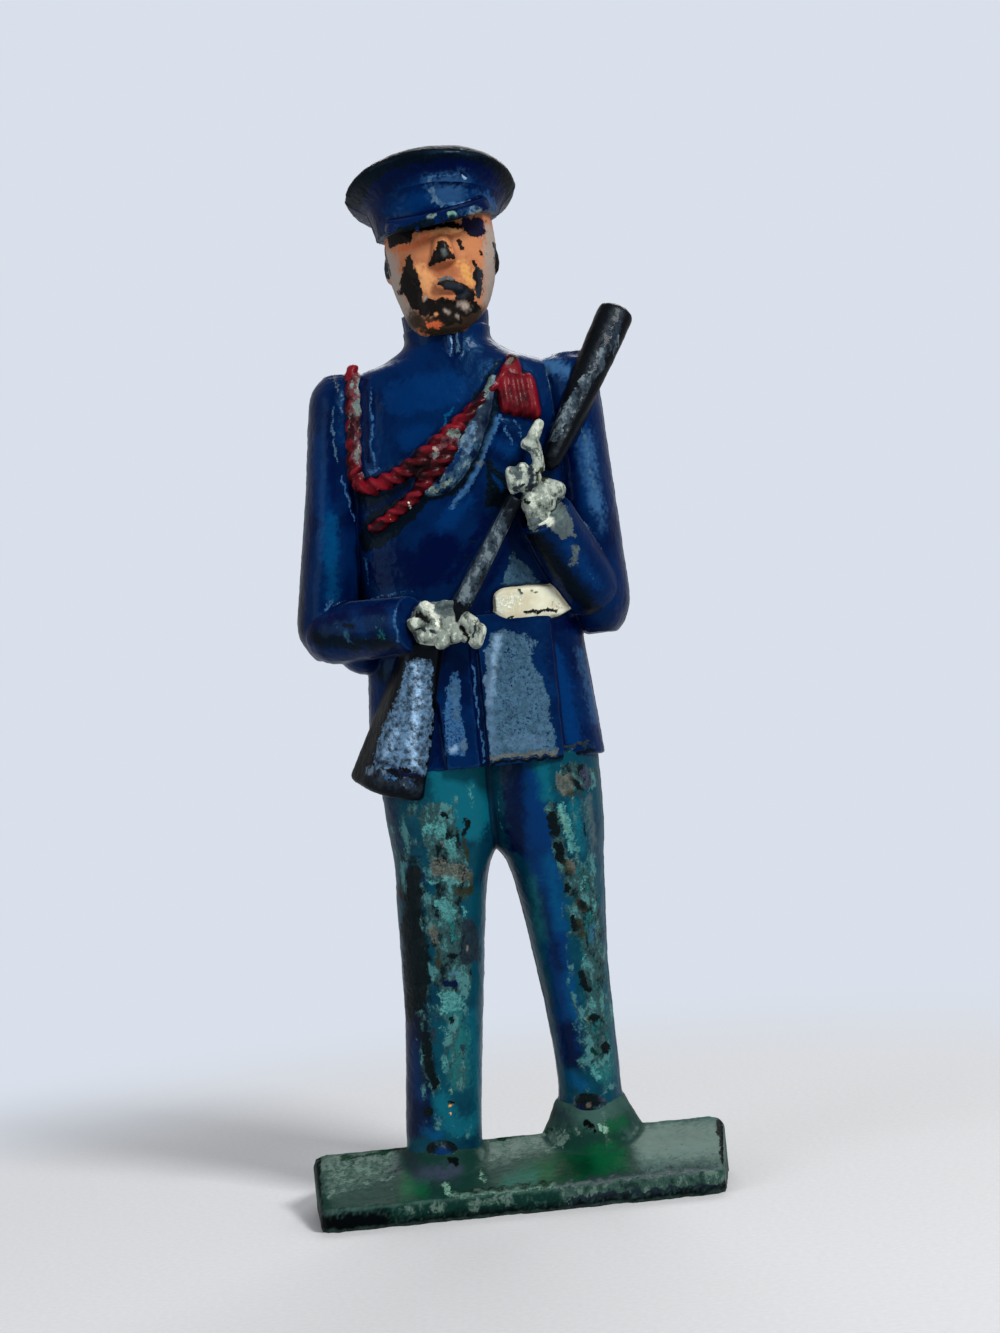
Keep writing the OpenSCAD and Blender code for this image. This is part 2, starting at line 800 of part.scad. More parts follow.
module right_upper_sleeve()
    color("navy") difference() {
        right_sleeve_form();
        body_forms();
    }

// The left shoulder carries the cast web that ties the rifle barrel to it.
module web_form()
    limb(
        [left_shoulder_x - web_w / 4, -sleeve_d * 0.12, shoulder_z - web_w * 0.37],
        mix(barrel_foot, muzzle, 0.62),
        [web_w, sleeve_d / 2], [muzzle_w, muzzle_w] / 2, round_both_shares, 2, small_sides
    );

module left_upper_sleeve()
    color("navy") difference() {
        union() {
            left_sleeve_form();
            web_form();
        }
        body_forms();
        barrel_form();
    }

hand_y = -waist_d / 2 - hand_out;
elbow_y = -sleeve_d / 8;
forearm_elbow = [forearm_elbow_w, forearm_elbow_w];
forearm_cuff = [forearm_cuff_w, forearm_cuff_w];
right_cuff = [body_x - waist_w * 0.28, hand_y, belt_z + right_cuff_h];
left_cuff = [body_x + waist_w * 0.3815, hand_y, belt_z + left_cuff_h];
right_elbow = [right_elbow_x, elbow_y, elbow_z + forearm_elbow_w * 0.45];
left_elbow = [left_elbow_x, elbow_y, elbow_z + forearm_elbow_w * 0.4];

module right_forearm_form()
    limb(right_elbow, right_cuff, forearm_elbow, forearm_cuff, round_foot_shares, 2.1, limb_sides);

module left_forearm_form()
    limb(left_elbow, left_cuff, forearm_elbow, forearm_cuff, round_foot_shares, 2.1, limb_sides);

module right_forearm()
    color("navy") difference() {
        right_forearm_form();
        body_forms();
        right_sleeve_form();
    }

module left_forearm()
    color("navy") difference() {
        left_forearm_form();
        body_forms();
        left_sleeve_form();
    }

// Gloves: a closed hand, with curled fingers over the rifle and a thumb along it

module finger(a, b)
    limb(a, b, [finger_w, finger_w], [finger_w, finger_w] * 0.9, round_both_shares, 2, small_sides);

right_palm = right_cuff + [right_glove_l * 0.36, 0, -right_glove_w * 0.08];
right_knuckles = right_cuff + [right_glove_l * 0.62, -glove_t * 0.14, -right_glove_w * 0.1];

module right_glove_form() {
    limb(
        right_cuff - [right_glove_l * 0.12, 0, 0],
        right_palm + [right_glove_l * 0.34, -glove_t * 0.05, 0],
        [right_glove_w * 0.86, glove_t], [right_glove_w * 0.9, glove_t * 0.9],
        round_both_shares, body_power, limb_sides
    );
    for (i = [0:3])
        let (root = right_knuckles + finger_w * [0.2 * i, 0, (1.5 - i) * 0.82])
        finger(root, root + [finger_l * 0.65 - finger_w * 0.2 * i, finger_w * 0.3, -finger_l * 0.3]);
    finger(
        right_palm + [0, -glove_t * 0.3, right_glove_w * 0.36],
        right_palm + [finger_l * 1.1, -glove_t * 0.2, right_glove_w * 0.28]
    );
}

module right_glove()
    color("ivory") difference() {
        right_glove_form();
        body_forms();
        right_forearm_form();
        grip_form();
        butt_form();
    }

// Directions along the left forearm, and across it in the plane of the chest
left_along = unit(left_cuff - left_elbow);
left_across = [-left_along[2], 0, left_along[0]];
left_fist = left_cuff + left_along * left_glove_l * 0.42;

module left_glove_form() {
    limb(
        left_cuff - left_along * left_glove_l * 0.1, left_fist + left_along * left_glove_l * 0.16,
        [left_glove_w * 0.85, glove_t], [left_glove_w * 0.8, glove_t * 0.9],
        round_both_shares, body_power, limb_sides
    );
    for (i = [0:3])
        let (
            root = left_fist - left_across * (1.6 - i) * finger_w * 0.85
                + [-finger_w * 0.7, -glove_t * 0.3, -finger_l * 0.45]
        )
        finger(root, root + [finger_w * 0.15, finger_w * 0.1, finger_l * 0.95]);
    finger(
        left_fist + [finger_w * 0.3, -glove_t * 0.28, finger_l * 0.3],
        left_fist + [finger_w * 0.9, -glove_t * 0.15, finger_l * 1.9]
    );
}

module left_glove()
    color("ivory") difference() {
        left_glove_form();
        body_forms();
        left_forearm_form();
        left_sleeve_form();
        grip_form();
        barrel_form();
    }

// Rifle: a butt that flares from the right hand, a grip between the hands, and a barrel
// that leans back from the left hand to the parting plane

grip_foot = right_cuff + [right_glove_l / 2, 0, -right_glove_w * 0.15];
grip_head = left_cuff + [-left_glove_w * 0.48, 0, left_glove_l * 0.28];
butt_neck = right_cuff + [right_glove_l * 0.13, -hand_y / 5, -right_glove_w * 0.35];
butt_end = [body_x - hem_w / 2 + butt_in, -butt_d * 0.4, belt_z - butt_drop];
barrel_foot = left_cuff + [left_glove_w * 0.14, forestock_w * 0.35, left_glove_l * 0.7];
muzzle = [body_x + shoulder_w / 2 + muzzle_out, -muzzle_w * 0.1, shoulder_z + muzzle_h];
stock_power = 3;
butt_shares = [[0, 0.9], [0.02, 0.97], [0.06, 1], [0.5, 1], [1, 1]];
barrel_shares = [[0, 0.9], [0.03, 1], [0.5, 1.08], [0.93, 1], [0.98, 0.9], [1, 0.72]];

module butt_form()
    limb(butt_end, butt_neck, [butt_w, butt_d], [butt_neck_w, butt_d / 2],
        butt_shares, stock_power, limb_sides, butt_flank);

module grip_form()
    limb(grip_foot, grip_head, [grip_w, grip_w * 1.3], [forestock_w, forestock_w * 1.6],
        straight_shares, stock_power, limb_sides);

module barrel_form()
    limb(barrel_foot, muzzle, [forestock_w, forestock_w * 1.3], [muzzle_w, muzzle_w],
        barrel_shares, stock_power, limb_sides);

module rifle_butt()
    color("black") difference() {
        butt_form();
        body_forms();
        right_leg_form();
        right_forearm_form();
    }

module rifle_grip()
    color("dimgray") difference() {
        grip_form();
        butt_form();
        body_forms();
        left_forearm_form();
    }

module rifle_barrel()
    color("black") difference() {
        barrel_form();
        chest_form();
        left_sleeve_form();
        left_forearm_form();
    }

// Aiguillette: twisted cords that lie on the chest, a flat plait and a knot of loops

// A place on the chest: shares of the chest's half width and of the way from the belt to
// the shoulder line. The lift is how far in front of the chest's face it is.
function on_chest(share, lift) =
    let (x = body_x + share[0] * chest_w / 2, z = mix(belt_z, shoulder_z, share[1]))
    [x, chest_front(x, z) - lift, z];

function cord_route(shares) = [
    for (s = smooth(shares, cord_steps)) on_chest(s, cord_w * (proud_share - 0.5))
];

// The length of a route up to each of its points.
function run_lengths(points, i = 0, so_far = 0) =
    i == len(points) - 1
        ? [so_far]
        : concat([so_far], run_lengths(points, i + 1, so_far + norm(points[i + 1] - points[i])));

// A cord of two twisted strands along points, with rounded ends.
module twisted_cord(points) {
    last = len(points) - 1;
    run = run_lengths(points);
    skin([
        for (i = [0:last])
            let (
                along = unit(points[min(i + 1, last)] - points[max(i - 1, 0)]),
                side = unit(cross(along, [0, 1, 0])),
                out = cross(along, side),
                twist = full_turn * run[i] / cord_pitch,
                end_share = min(1, 0.55 + min(i, last - i) * 0.25)
            )
            [
                for (k = [0:cord_sides - 1])
                    let (
                        turn = full_turn * k / cord_sides,
                        groove = groove_share * (1 - cos(2 * turn - twist)) / 2,
                        r = end_share * cord_w / 2 * (1 - groove)
                    )
                    points[i] + r * (cos(turn) * side + sin(turn) * out)
            ]
    ]);
}

shoulder_cord_shares = [[-0.83, 1.06], [-0.85, 0.95], [-0.87, 0.83], [-0.89, 0.68], [-0.85, 0.59], [-0.76, 0.56]];
chest_cord_shares = [
    [-0.74, 0.56], [-0.62, 0.585], [-0.48, 0.615], [-0.27, 0.645], [-0.1, 0.7], [0.05, 0.78],
    [0.3, 0.875], [0.47, 0.95], [0.56, 1.02]
];
lower_cord_shares = [[-0.82, 0.385], [-0.62, 0.44], [-0.43, 0.485], [-0.3, 0.53], [-0.2, 0.58]];

module shoulder_cord_form() twisted_cord(cord_route(shoulder_cord_shares));
module chest_cord_form() twisted_cord(cord_route(chest_cord_shares));
module lower_cord_form() twisted_cord(cord_route(lower_cord_shares));

module shoulder_cord()
    color("firebrick") difference() {
        shoulder_cord_form();
        chest_form();
        right_sleeve_form();
    }

module chest_cord()
    color("firebrick") difference() {
        chest_cord_form();
        chest_form();
        shoulder_cord_form();
    }

module lower_cord()
    color("firebrick") difference() {
        lower_cord_form();
        chest_form();
        right_sleeve_form();
    }

plait_line_shares = [[-0.2, 0.53], [0.08, 0.62], [0.27, 0.745], [0.42, 0.85], [0.5, 0.9]];
plait_edge_shares = [
    // share along the plait, share of its width there
    [0, 0.15], [0.12, 0.6], [0.3, 0.95], [0.5, 1], [0.7, 0.75], [0.86, 0.45], [1, 0.15]
];

module plait_form() {
    line = smooth(plait_line_shares, plait_steps);
    last = len(line) - 1;
    // shares across and up for one millimetre of the chest
    unit_share = [2 / chest_w, 1 / torso_h];
    skin([
        for (i = [0:last])
            let (
                step = line[min(i + 1, last)] - line[max(i - 1, 0)],
                along = unit([step[0] / unit_share[0], step[1] / unit_share[1]]),
                half = lookup(i / last, plait_edge_shares) * plait_w / 2,
                out = [-along[1] * unit_share[0], along[0] * unit_share[1]] * half
            )
            [
                on_chest(line[i] - out, -plait_t), on_chest(line[i] + out, -plait_t),
                on_chest(line[i] + out, plait_t), on_chest(line[i] - out, plait_t)
            ]
    ]);
}

module flat_plait()
    color("slategray") difference() {
        plait_form();
        chest_form();
        chest_cord_form();
        lower_cord_form();
    }

// Shoulder knot: loops of cord that hang side by side from one place

knot_share = [0.605, 0.865];
knot_drop_shares = [0.72, 0.86, 0.94, 1];

module knot_form()
    for (i = [0:knot_loops - 1])
        let (
            across = ((i + 0.5) / knot_loops - 0.5) * knot_w * 2 / chest_w,
            rise = knot_h / torso_h,
            loop_w = knot_w / knot_loops * 1.25,
            top_share = knot_share + [across * 0.7, rise / 2],
            low_share = knot_share + [across, rise * (0.5 - knot_drop_shares[i])]
        )
        limb(
            on_chest(low_share, knot_t * 0.1), on_chest(top_share, knot_t * 0.1),
            [loop_w, knot_t * 2], [loop_w * 0.9, knot_t * 1.8], round_both_shares, body_power, small_sides
        );

module shoulder_knot()
    color("firebrick") difference() {
        knot_form();
        chest_form();
        left_sleeve_form();
        chest_cord_form();
        plait_form();
    }

base_plate();
right_shoe();
left_shoe();
right_trouser_leg();
left_trouser_leg();
tunic_skirt();
left_skirt_panel();
right_skirt_panel();
belt();
tunic_chest();
collar();
head();
cap_band();
cap_crown();
cap_peak();
right_upper_sleeve();
left_upper_sleeve();
right_forearm();
left_forearm();
right_glove();
left_glove();
rifle_butt();
rifle_grip();
rifle_barrel();
shoulder_cord();
chest_cord();
lower_cord();
flat_plait();
shoulder_knot();
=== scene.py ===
# Painted cast toy soldier, standing on an oblong base.
# Its forms are made in millimetres and melted together as three castings. These are rounded and
# roughened like old painted metal, then parted again along the paint lines.
import math
import numpy as np
import bpy, bmesh
from mathutils import Matrix, Vector, noise
from mathutils.bvhtree import BVHTree


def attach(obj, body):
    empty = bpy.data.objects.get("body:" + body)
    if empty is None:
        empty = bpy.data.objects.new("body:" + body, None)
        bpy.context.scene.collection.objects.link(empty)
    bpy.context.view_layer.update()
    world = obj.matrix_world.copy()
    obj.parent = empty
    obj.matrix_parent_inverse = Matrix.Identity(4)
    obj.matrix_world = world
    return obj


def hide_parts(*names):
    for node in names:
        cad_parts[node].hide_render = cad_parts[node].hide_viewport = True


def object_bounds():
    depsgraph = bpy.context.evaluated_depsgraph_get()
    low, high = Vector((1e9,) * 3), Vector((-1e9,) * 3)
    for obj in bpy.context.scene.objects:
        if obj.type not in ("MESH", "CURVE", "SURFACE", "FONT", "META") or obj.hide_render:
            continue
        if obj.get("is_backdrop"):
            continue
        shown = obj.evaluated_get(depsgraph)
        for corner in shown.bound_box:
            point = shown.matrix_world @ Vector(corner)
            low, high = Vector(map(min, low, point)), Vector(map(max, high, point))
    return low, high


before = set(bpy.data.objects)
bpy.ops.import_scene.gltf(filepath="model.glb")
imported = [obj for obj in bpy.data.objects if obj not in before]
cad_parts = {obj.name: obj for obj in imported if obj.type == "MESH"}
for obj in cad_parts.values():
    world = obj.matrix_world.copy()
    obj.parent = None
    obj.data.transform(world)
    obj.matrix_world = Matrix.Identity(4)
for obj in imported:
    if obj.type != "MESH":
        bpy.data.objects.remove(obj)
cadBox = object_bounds()
noise.seed_set(11)
print("stage: frame loaded")

# camera, floor and light

camera = {"place": (0.00214, -0.18, 0.03787), "roll": -5.8, "lens": 67.38}
room = {"backdrop": (217, 224, 235), "floor": (186, 187, 190), "fibre": (194, 195, 198), "ambient": 0.36,
        "fibreScale": 2500.0, "floorRadius": 0.16, "fadeFrom": 0.035, "fadeTo": 0.1, "aim": (0, 0, 0.04)}
lamps = [  # name, where, size, watts, colour
    ("windowLamp", (0.19, -0.24, 0.28), (0.07, 0.11), 1.7, (1.0, 0.99, 0.97)),
    ("sideLamp", (-0.30, -0.18, 0.14), (0.20, 0.30), 0.45, (0.93, 0.96, 1.0)),
    ("backLamp", (0.05, 0.30, 0.30), (0.25, 0.20), 0.8, (1.0, 1.0, 1.0)),
]


def paintColour(rgb):
    # screen colour, 0 to 255, as the linear colour that a shader takes
    out = [c / 255 for c in rgb]
    out = [c / 12.92 if c < 0.04045 else ((c + 0.055) / 1.055) ** 2.4 for c in out]
    return (*out, 1.0)


def addCamera(look):
    data = bpy.data.cameras.new("photoCamera")
    data.lens = look["lens"]
    data.clip_start = 0.01
    obj = bpy.data.objects.new("photoCamera", data)
    bpy.context.collection.objects.link(obj)
    turn = Matrix.Rotation(math.radians(90), 4, "X") @ Matrix.Rotation(math.radians(look["roll"]), 4, "Z")
    obj.matrix_world = Matrix.Translation(look["place"]) @ turn
    bpy.context.scene.camera = obj


def addLamps():
    for name, place, size, watts, colour in lamps:
        data = bpy.data.lights.new(name, "AREA")
        data.shape = "RECTANGLE"
        data.size, data.size_y = size
        data.energy = watts
        data.color = colour
        obj = bpy.data.objects.new(name, data)
        bpy.context.collection.objects.link(obj)
        obj.location = place
        obj.rotation_euler = (Vector(room["aim"]) - Vector(place)).to_track_quat("-Z", "Y").to_euler()
        obj.visible_camera = False


class Wire:
    # one output of a node; arithmetic on it adds Math nodes
    def __init__(self, paint, socket):
        self.paint = paint
        self.socket = socket

    def math(self, operation, *values):
        made = self.paint.node("ShaderNodeMath", {"operation": operation}, dict(enumerate(values)))
        return Wire(self.paint, made.socket.node.outputs[0])

    def __add__(self, other):
        return self.math("ADD", self, other)

    def __radd__(self, other):
        return self.math("ADD", other, self)

    def __sub__(self, other):
        return self.math("SUBTRACT", self, other)

    def __rsub__(self, other):
        return self.math("SUBTRACT", other, self)

    def __mul__(self, other):
        return self.math("MULTIPLY", self, other)

    def __rmul__(self, other):
        return self.math("MULTIPLY", other, self)

    def step(self, low, high):
        # 0 below low, 1 above high, smooth between
        settings = {"interpolation_type": "SMOOTHSTEP"}
        inputs = {"Value": self, "From Min": low, "From Max": high}
        return self.paint.node("ShaderNodeMapRange", settings, inputs)

    def between(self, a, b):
        # colour a where this is 0, colour b where it is 1
        inputs = {0: self, 6: a, 7: b}
        return self.paint.node("ShaderNodeMix", {"data_type": "RGBA", "clamp_factor": True}, inputs, 2)


class Paint:
    # the node tree of one material or of the world
    def __init__(self, owner):
        owner.use_nodes = True
        self.owner = owner
        self.tree = owner.node_tree

    def node(self, kind, settings=None, inputs=None, output=0):
        made = self.tree.nodes.new(kind)
        for key, value in (settings or {}).items():
            setattr(made, key, value)
        for key, value in (inputs or {}).items():
            self.feed(made.inputs[key], value)
        return Wire(self, made.outputs[output])

    def feed(self, socket, value):
        if isinstance(value, Wire):
            self.tree.links.new(value.socket, socket)
        else:
            socket.default_value = value

    def attribute(self, name):
        return self.node("ShaderNodeAttribute", {"attribute_name": name}, None, 2)

    def tint(self, name):
        # colour and strength of a colour attribute
        made = self.node("ShaderNodeAttribute", {"attribute_name": name}).socket.node
        return Wire(self, made.outputs[0]), Wire(self, made.outputs[3])

    def grain(self, place, scale, detail=3.0, rough=0.55, stretch=None):
        # noise with that many features to a millimetre
        if stretch:
            place = self.node("ShaderNodeVectorMath", {"operation": "MULTIPLY"}, {0: place, 1: stretch})
        inputs = {"Vector": place, "Scale": scale, "Detail": detail, "Roughness": rough}
        return self.node("ShaderNodeTexNoise", None, inputs)


def addRoom(look):
    # the world shows the backdrop to camera rays, and lights softly otherwise
    bpy.context.scene.view_settings.view_transform = "Standard"
    world = bpy.data.worlds.new("room")
    bpy.context.scene.world = world
    paint = Paint(world)
    path = paint.node("ShaderNodeLightPath").socket.node
    seen = Wire(paint, path.outputs["Is Camera Ray"])
    ambient = (look["ambient"], look["ambient"], look["ambient"], 1)
    backdrop = paintColour(look["backdrop"])
    paint.feed(paint.tree.nodes["Background"].inputs["Color"], seen.between(ambient, backdrop))
    # a pale disc that fades into the backdrop
    bm = bmesh.new()
    bmesh.ops.create_circle(bm, cap_ends=True, segments=96, radius=look["floorRadius"])
    mesh = bpy.data.meshes.new("floor")
    bm.to_mesh(mesh)
    bm.free()
    floor = bpy.data.objects.new("floor", mesh)
    bpy.context.collection.objects.link(floor)
    mat = bpy.data.materials.new("paperFloor")
    mesh.materials.append(mat)
    paint = Paint(mat)
    shader = paint.tree.nodes["Principled BSDF"]
    place = Wire(paint, paint.node("ShaderNodeTexCoord").socket.node.outputs["Object"])
    fibre = paint.grain(place, look["fibreScale"]).step(0.2, 0.9)
    paper = fibre.between(paintColour(look["floor"]), paintColour(look["fibre"]))
    paint.feed(shader.inputs["Base Color"], paper)
    shader.inputs["Roughness"].default_value = 0.95
    shader.inputs["Specular IOR Level"].default_value = 0.1
    reach = paint.node("ShaderNodeVectorMath", {"operation": "LENGTH"}, {0: place}, 1)
    fade = reach.step(look["fadeFrom"], look["fadeTo"])
    glow = paint.node("ShaderNodeEmission", None, {"Color": backdrop})
    blend = paint.tree.nodes.new("ShaderNodeMixShader")
    paint.feed(blend.inputs[0], fade)
    paint.tree.links.new(shader.outputs[0], blend.inputs[1])
    paint.tree.links.new(glow.socket, blend.inputs[2])
    paint.tree.links.new(blend.outputs[0], paint.tree.nodes["Material Output"].inputs["Surface"])
    floor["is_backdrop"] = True


addCamera(camera)
addLamps()
addRoom(room)
print("stage: camera, floor and light")

# form tools, in millimetres


def mix(a, b, t):
    return a + (b - a) * t


def along(rows, t):
    # a smooth curve through rows of numbers, t from 0 to 1
    rows = np.asarray(rows, float)
    at = min(max(t, 0), 1) * (len(rows) - 1)
    i = min(int(at), len(rows) - 2)
    f = at - i
    a, b = rows[i], rows[i + 1]
    before, after = rows[max(i - 1, 0)], rows[min(i + 2, len(rows) - 1)]
    return (2 * a + (b - before) * f + (2 * before - 5 * a + 4 * b - after) * f ** 2
            + (3 * a - before - 3 * b + after) * f ** 3) / 2


def lobe(turn, power):
    # a point on the outline of a unit superellipse
    c, s = math.cos(turn), math.sin(turn)
    return (math.copysign(abs(c) ** (2 / power), c), math.copysign(abs(s) ** (2 / power), s))


def tube(sides, rings, place):
    # a closed tube; place gives each point from its turn and its share of the length
    bm = bmesh.new()
    bmesh.ops.create_cone(bm, cap_ends=True, segments=sides, radius1=1, radius2=1, depth=1)
    uprights = [e for e in bm.edges if abs(e.verts[0].co.z - e.verts[1].co.z) > 0.5]
    bmesh.ops.subdivide_edges(bm, edges=uprights, cuts=rings, use_grid_fill=True)
    for v in bm.verts:
        v.co = Vector(place(math.atan2(v.co.y, v.co.x), v.co.z + 0.5))
    return bm


def upright(stations, power=2.3, sides=72, rings=48):
    # a loft of level rings: x, y, z, half width, half depth
    def place(turn, t):
        x, y, z, w, d = along(stations, t)
        u, v = lobe(turn, power)
        return x + u * w, y + v * d, z
    return tube(sides, rings, place)


# a limb's shape along its length: the place from 0 to 1, and the share of its size there
roundBoth = [
    (0, 0.3), (0.03, 0.6), (0.1, 0.85), (0.2, 1), (0.5, 1.02), (0.8, 1), (0.9, 0.85), (0.97, 0.6), (1, 0.3)]
roundFoot = [(0, 0.35), (0.04, 0.62), (0.12, 0.86), (0.26, 1), (0.6, 1.02), (0.8, 1.01), (1, 1)]
plain = [(0, 1), (0.5, 1.02), (1, 1)]


def limb(a, b, sizeA, sizeB, shares=roundBoth, power=2.0, flank=0.0, sides=40, rings=30):
    # a loft from a to b, whose sections keep their depth along y; sizes are width and depth,
    # and a flank pushes one side out at the start
    a, b = Vector(a), Vector(b)
    run = b - a
    side = Vector((0, 1, 0)).cross(run).normalized()
    back = run.normalized().cross(side)

    def place(turn, t):
        p, size = along(shares, t)
        w, d = mix(sizeA[0], sizeB[0], p) * size / 2, mix(sizeA[1], sizeB[1], p) * size / 2
        u, v = lobe(turn, power)
        out = flank * (1 - p) * u * (1 + v) / 2 if u < 0 else 0
        return a + run * p + side * (u * w + out) + back * (v * d)
    return tube(sides, rings, place)


twist = {"sharp": 0.8, "endSize": 0.45, "ring": 0.09, "step": 0.01}


def rope(points, width, beads, groove, flat=1.0, sides=28):
    # a two-strand twist along points, with as many beads as given
    lengths = [0.0]
    for p, q in zip(points, points[1:]):
        lengths.append(lengths[-1] + (Vector(q) - Vector(p)).length)

    def place(turn, t):
        here = Vector(along(points, t))
        step = Vector(along(points, t + twist["step"])) - Vector(along(points, t - twist["step"]))
        ahead = step.normalized()
        side = ahead.cross(Vector((0, 1, 0))).normalized()
        out = ahead.cross(side)
        girth = width(t) if callable(width) else width
        phase = 2 * math.pi * t * beads
        cut = groove * (1 - abs(math.cos((turn * 2 - phase) / 2)) ** twist["sharp"])
        end = min(1, twist["endSize"] + min(t, 1 - t) * lengths[-1] / (girth * 0.5))
        r = girth / 2 * end * (1 - cut)
        return here + side * (math.cos(turn) * r) + out * (math.sin(turn) * r * flat)
    return tube(sides, int(lengths[-1] / twist["ring"]), place)


def ball(centre, size, turn=0.0):
    # an ellipsoid, turned about the y axis
    bm = bmesh.new()
    bmesh.ops.create_uvsphere(bm, u_segments=32, v_segments=20, radius=0.5)
    turned = Matrix.Rotation(math.radians(turn), 4, "Y") @ Matrix.Diagonal((*size, 1))
    bmesh.ops.transform(bm, matrix=Matrix.Translation(centre) @ turned, verts=bm.verts)
    return bm


class Casting:
    # forms that melt together; each face keeps the number of its piece
    def __init__(self, name, grain, soften):
        self.name, self.grain, self.soften = name, grain, soften
        self.names = []
        self.bm = bmesh.new()

    def add(self, piece, *forms):
        if piece not in self.names:
            self.names.append(piece)
        for form in forms:
            for face in form.faces:
                face.material_index = self.names.index(piece)
            mesh = bpy.data.meshes.new("form")
            form.to_mesh(mesh)
            form.free()
            self.bm.from_mesh(mesh)
            bpy.data.meshes.remove(mesh)


# stand, shoes and legs

stand = {"wide": 29.8, "deep": 15.0, "edge": 1.6, "ridge": 4.0, "draft": 0.85, "corner": 0.9}
mound = {"reach": 6.2, "top": 2.5, "spread": 3.7, "foot": 0.4, "low": 1.3, "curve": 1.7}
feet = {
    "right": dict(at=(-5.35, -0.8), ground=4.3, hip=-3.0, cuff=5.4, stations=[
        (0, 0, 0, 0), (0.12, 0.106, 0.02, 0.06), (0.375, 0.417, 0.07, 0.28), (0.663, 0.68, 0.3, 0.58),
        (0.738, 0.81, 0.41, 0.7), (0.794, 0.936, 0.61, 0.82), (0.888, 1, 0.85, 0.95), (1.02, 1, 1, 1)]),
    "left": dict(at=(5.45, 0.8), ground=6.2, hip=4.15, cuff=4.7, stations=[
        (0, 0, 0, 0), (0.125, -0.08, -0.04, 0.06), (0.3, 0.07, 0.035, 0.2), (0.423, 0.23, 0.125, 0.32),
        (0.597, 0.37, 0.34, 0.52), (0.718, 0.54, 0.55, 0.68), (0.778, 0.77, 0.79, 0.82),
        (0.88, 0.96, 0.975, 0.95), (1.02, 1, 1, 1)]),
}
trousers = {"cuffDeep": 5.2, "thigh": (8.7, 8.1), "hem": 31.0, "sunk": 1.2, "power": 2.1}
shoe = {"instep": 1.9, "sole": 1.4, "welt": 2.2, "below": (0.3, 0.05), "power": 2.2, "sections": [
    # forward of the ankle, half width, half depth
    (1.25, 1.6, 1.7), (1.25, 1.7, 1.7), (1.15, 1.7, 1.62), (1.05, 1.6, 1.55), (1.0, 1.3, 1.4)]}


def plateForm(look):
    bm = bmesh.new()
    bmesh.ops.create_cube(bm, size=1)
    bmesh.ops.scale(bm, vec=(look["wide"], look["deep"], look["edge"]), verts=bm.verts)
    bmesh.ops.translate(bm, vec=(0, 0, look["edge"] / 2), verts=bm.verts)
    whole = bm.verts[:] + bm.edges[:] + bm.faces[:]
    bmesh.ops.bisect_plane(bm, geom=whole, plane_co=(0, 0, 0), plane_no=(0, 1, 0))
    for v in bm.verts:
        if abs(v.co.y) > 1:
            v.co.x -= math.copysign(look["draft"], v.co.x)
        elif v.co.z > 1:
            v.co.z = look["ridge"]
    outer = [e for e in bm.edges if abs(e.verts[0].co.y) > 1]
    corners = [e for e in outer if abs(e.verts[0].co.z - e.verts[1].co.z) > 1]
    bmesh.ops.bevel(bm, geom=corners, offset=look["corner"], offset_type="OFFSET", affect="EDGES",
                    segments=5, profile=0.5, material=-1)
    return bm


def moundForm(at, ground):
    # a revolved mound: its radius falls away from the foot and its height follows a soft curve
    def place(turn, t):
        radius = mound["top"] + mound["spread"] * (1 - t) if t > 0 else mound["reach"]
        height = mix(mound["low"], ground, t ** mound["curve"]) if t > 0 else mound["foot"]
        return at[0] + math.cos(turn) * radius, at[1] + math.sin(turn) * radius, height
    return tube(64, 16, place)


def legForm(foot):
    rows = []
    for up, way, wide, deep in foot["stations"]:
        x, y = mix(foot["at"][0], foot["hip"], way), mix(foot["at"][1], 0, way)
        z = mix(foot["ground"] - trousers["sunk"], trousers["hem"], up)
        w = mix(foot["cuff"], trousers["thigh"][0], wide)
        d = mix(trousers["cuffDeep"], trousers["thigh"][1], deep)
        rows.append((x, y, z, w / 2, d / 2))
    return upright(rows, trousers["power"], 72, 70)


def shoeForm(foot):
    x, y = foot["at"]
    top = foot["ground"] + shoe["instep"] / 2
    heights = [shoe["sole"], shoe["welt"], mix(shoe["welt"], top, 0.6)]
    heights += [top - below for below in shoe["below"]]
    rows = [(x, y - ahead, z, w, d) for z, (ahead, w, d) in zip(heights, shoe["sections"])]
    return upright(rows, shoe["power"], 40, 16)


grain = {"lower": (0.16, 4), "body": (0.13, 2), "top": (0.105, 4)}  # voxels in millimetres, smoothing rounds
lower = Casting("lower", *grain["lower"])
lower.add("base_plate", plateForm(stand), *[moundForm(f["at"], f["ground"]) for f in feet.values()])
for side, foot in feet.items():
    lower.add(side + "_trouser_leg", legForm(foot))
    lower.add(side + "_shoe", shoeForm(foot))
print("stage: stand and legs")

# tunic, belt and collar

tunic = {
    "skirt": [(0.55, 0, 30.98, 8.45, 4.45), (0.55, 0, 36.1, 8.05, 4.18), (0.55, 0, 41.4, 7.6, 3.9)],
    "chest": [(0.55, 0, 41.2, 7.6, 3.9), (0.55, 0, 47.3, 7.98, 4.16), (0.55, 0, 53.4, 8.3, 4.3),
              (0.55, 0, 56.8, 8.05, 4.05), (0.55, 0, 59.2, 7.3, 3.4), (0.7, 0, 60.4, 4.6, 3.05),
              (0.75, 0, 61.4, 3.2, 2.9), (0.75, 0, 62.4, 3.1, 2.88)],
    "power": 2.3,
    # left and right edges at the belt, then at the hem
    "panels": {"left_skirt_panel": (0.75, 6.0, 0.75, 6.0), "right_skirt_panel": (-2.75, 0.05, -2.2, 0.0)},
    "panelHeight": (30.95, 41.6), "panelDepth": (-0.42, 0.8),
}
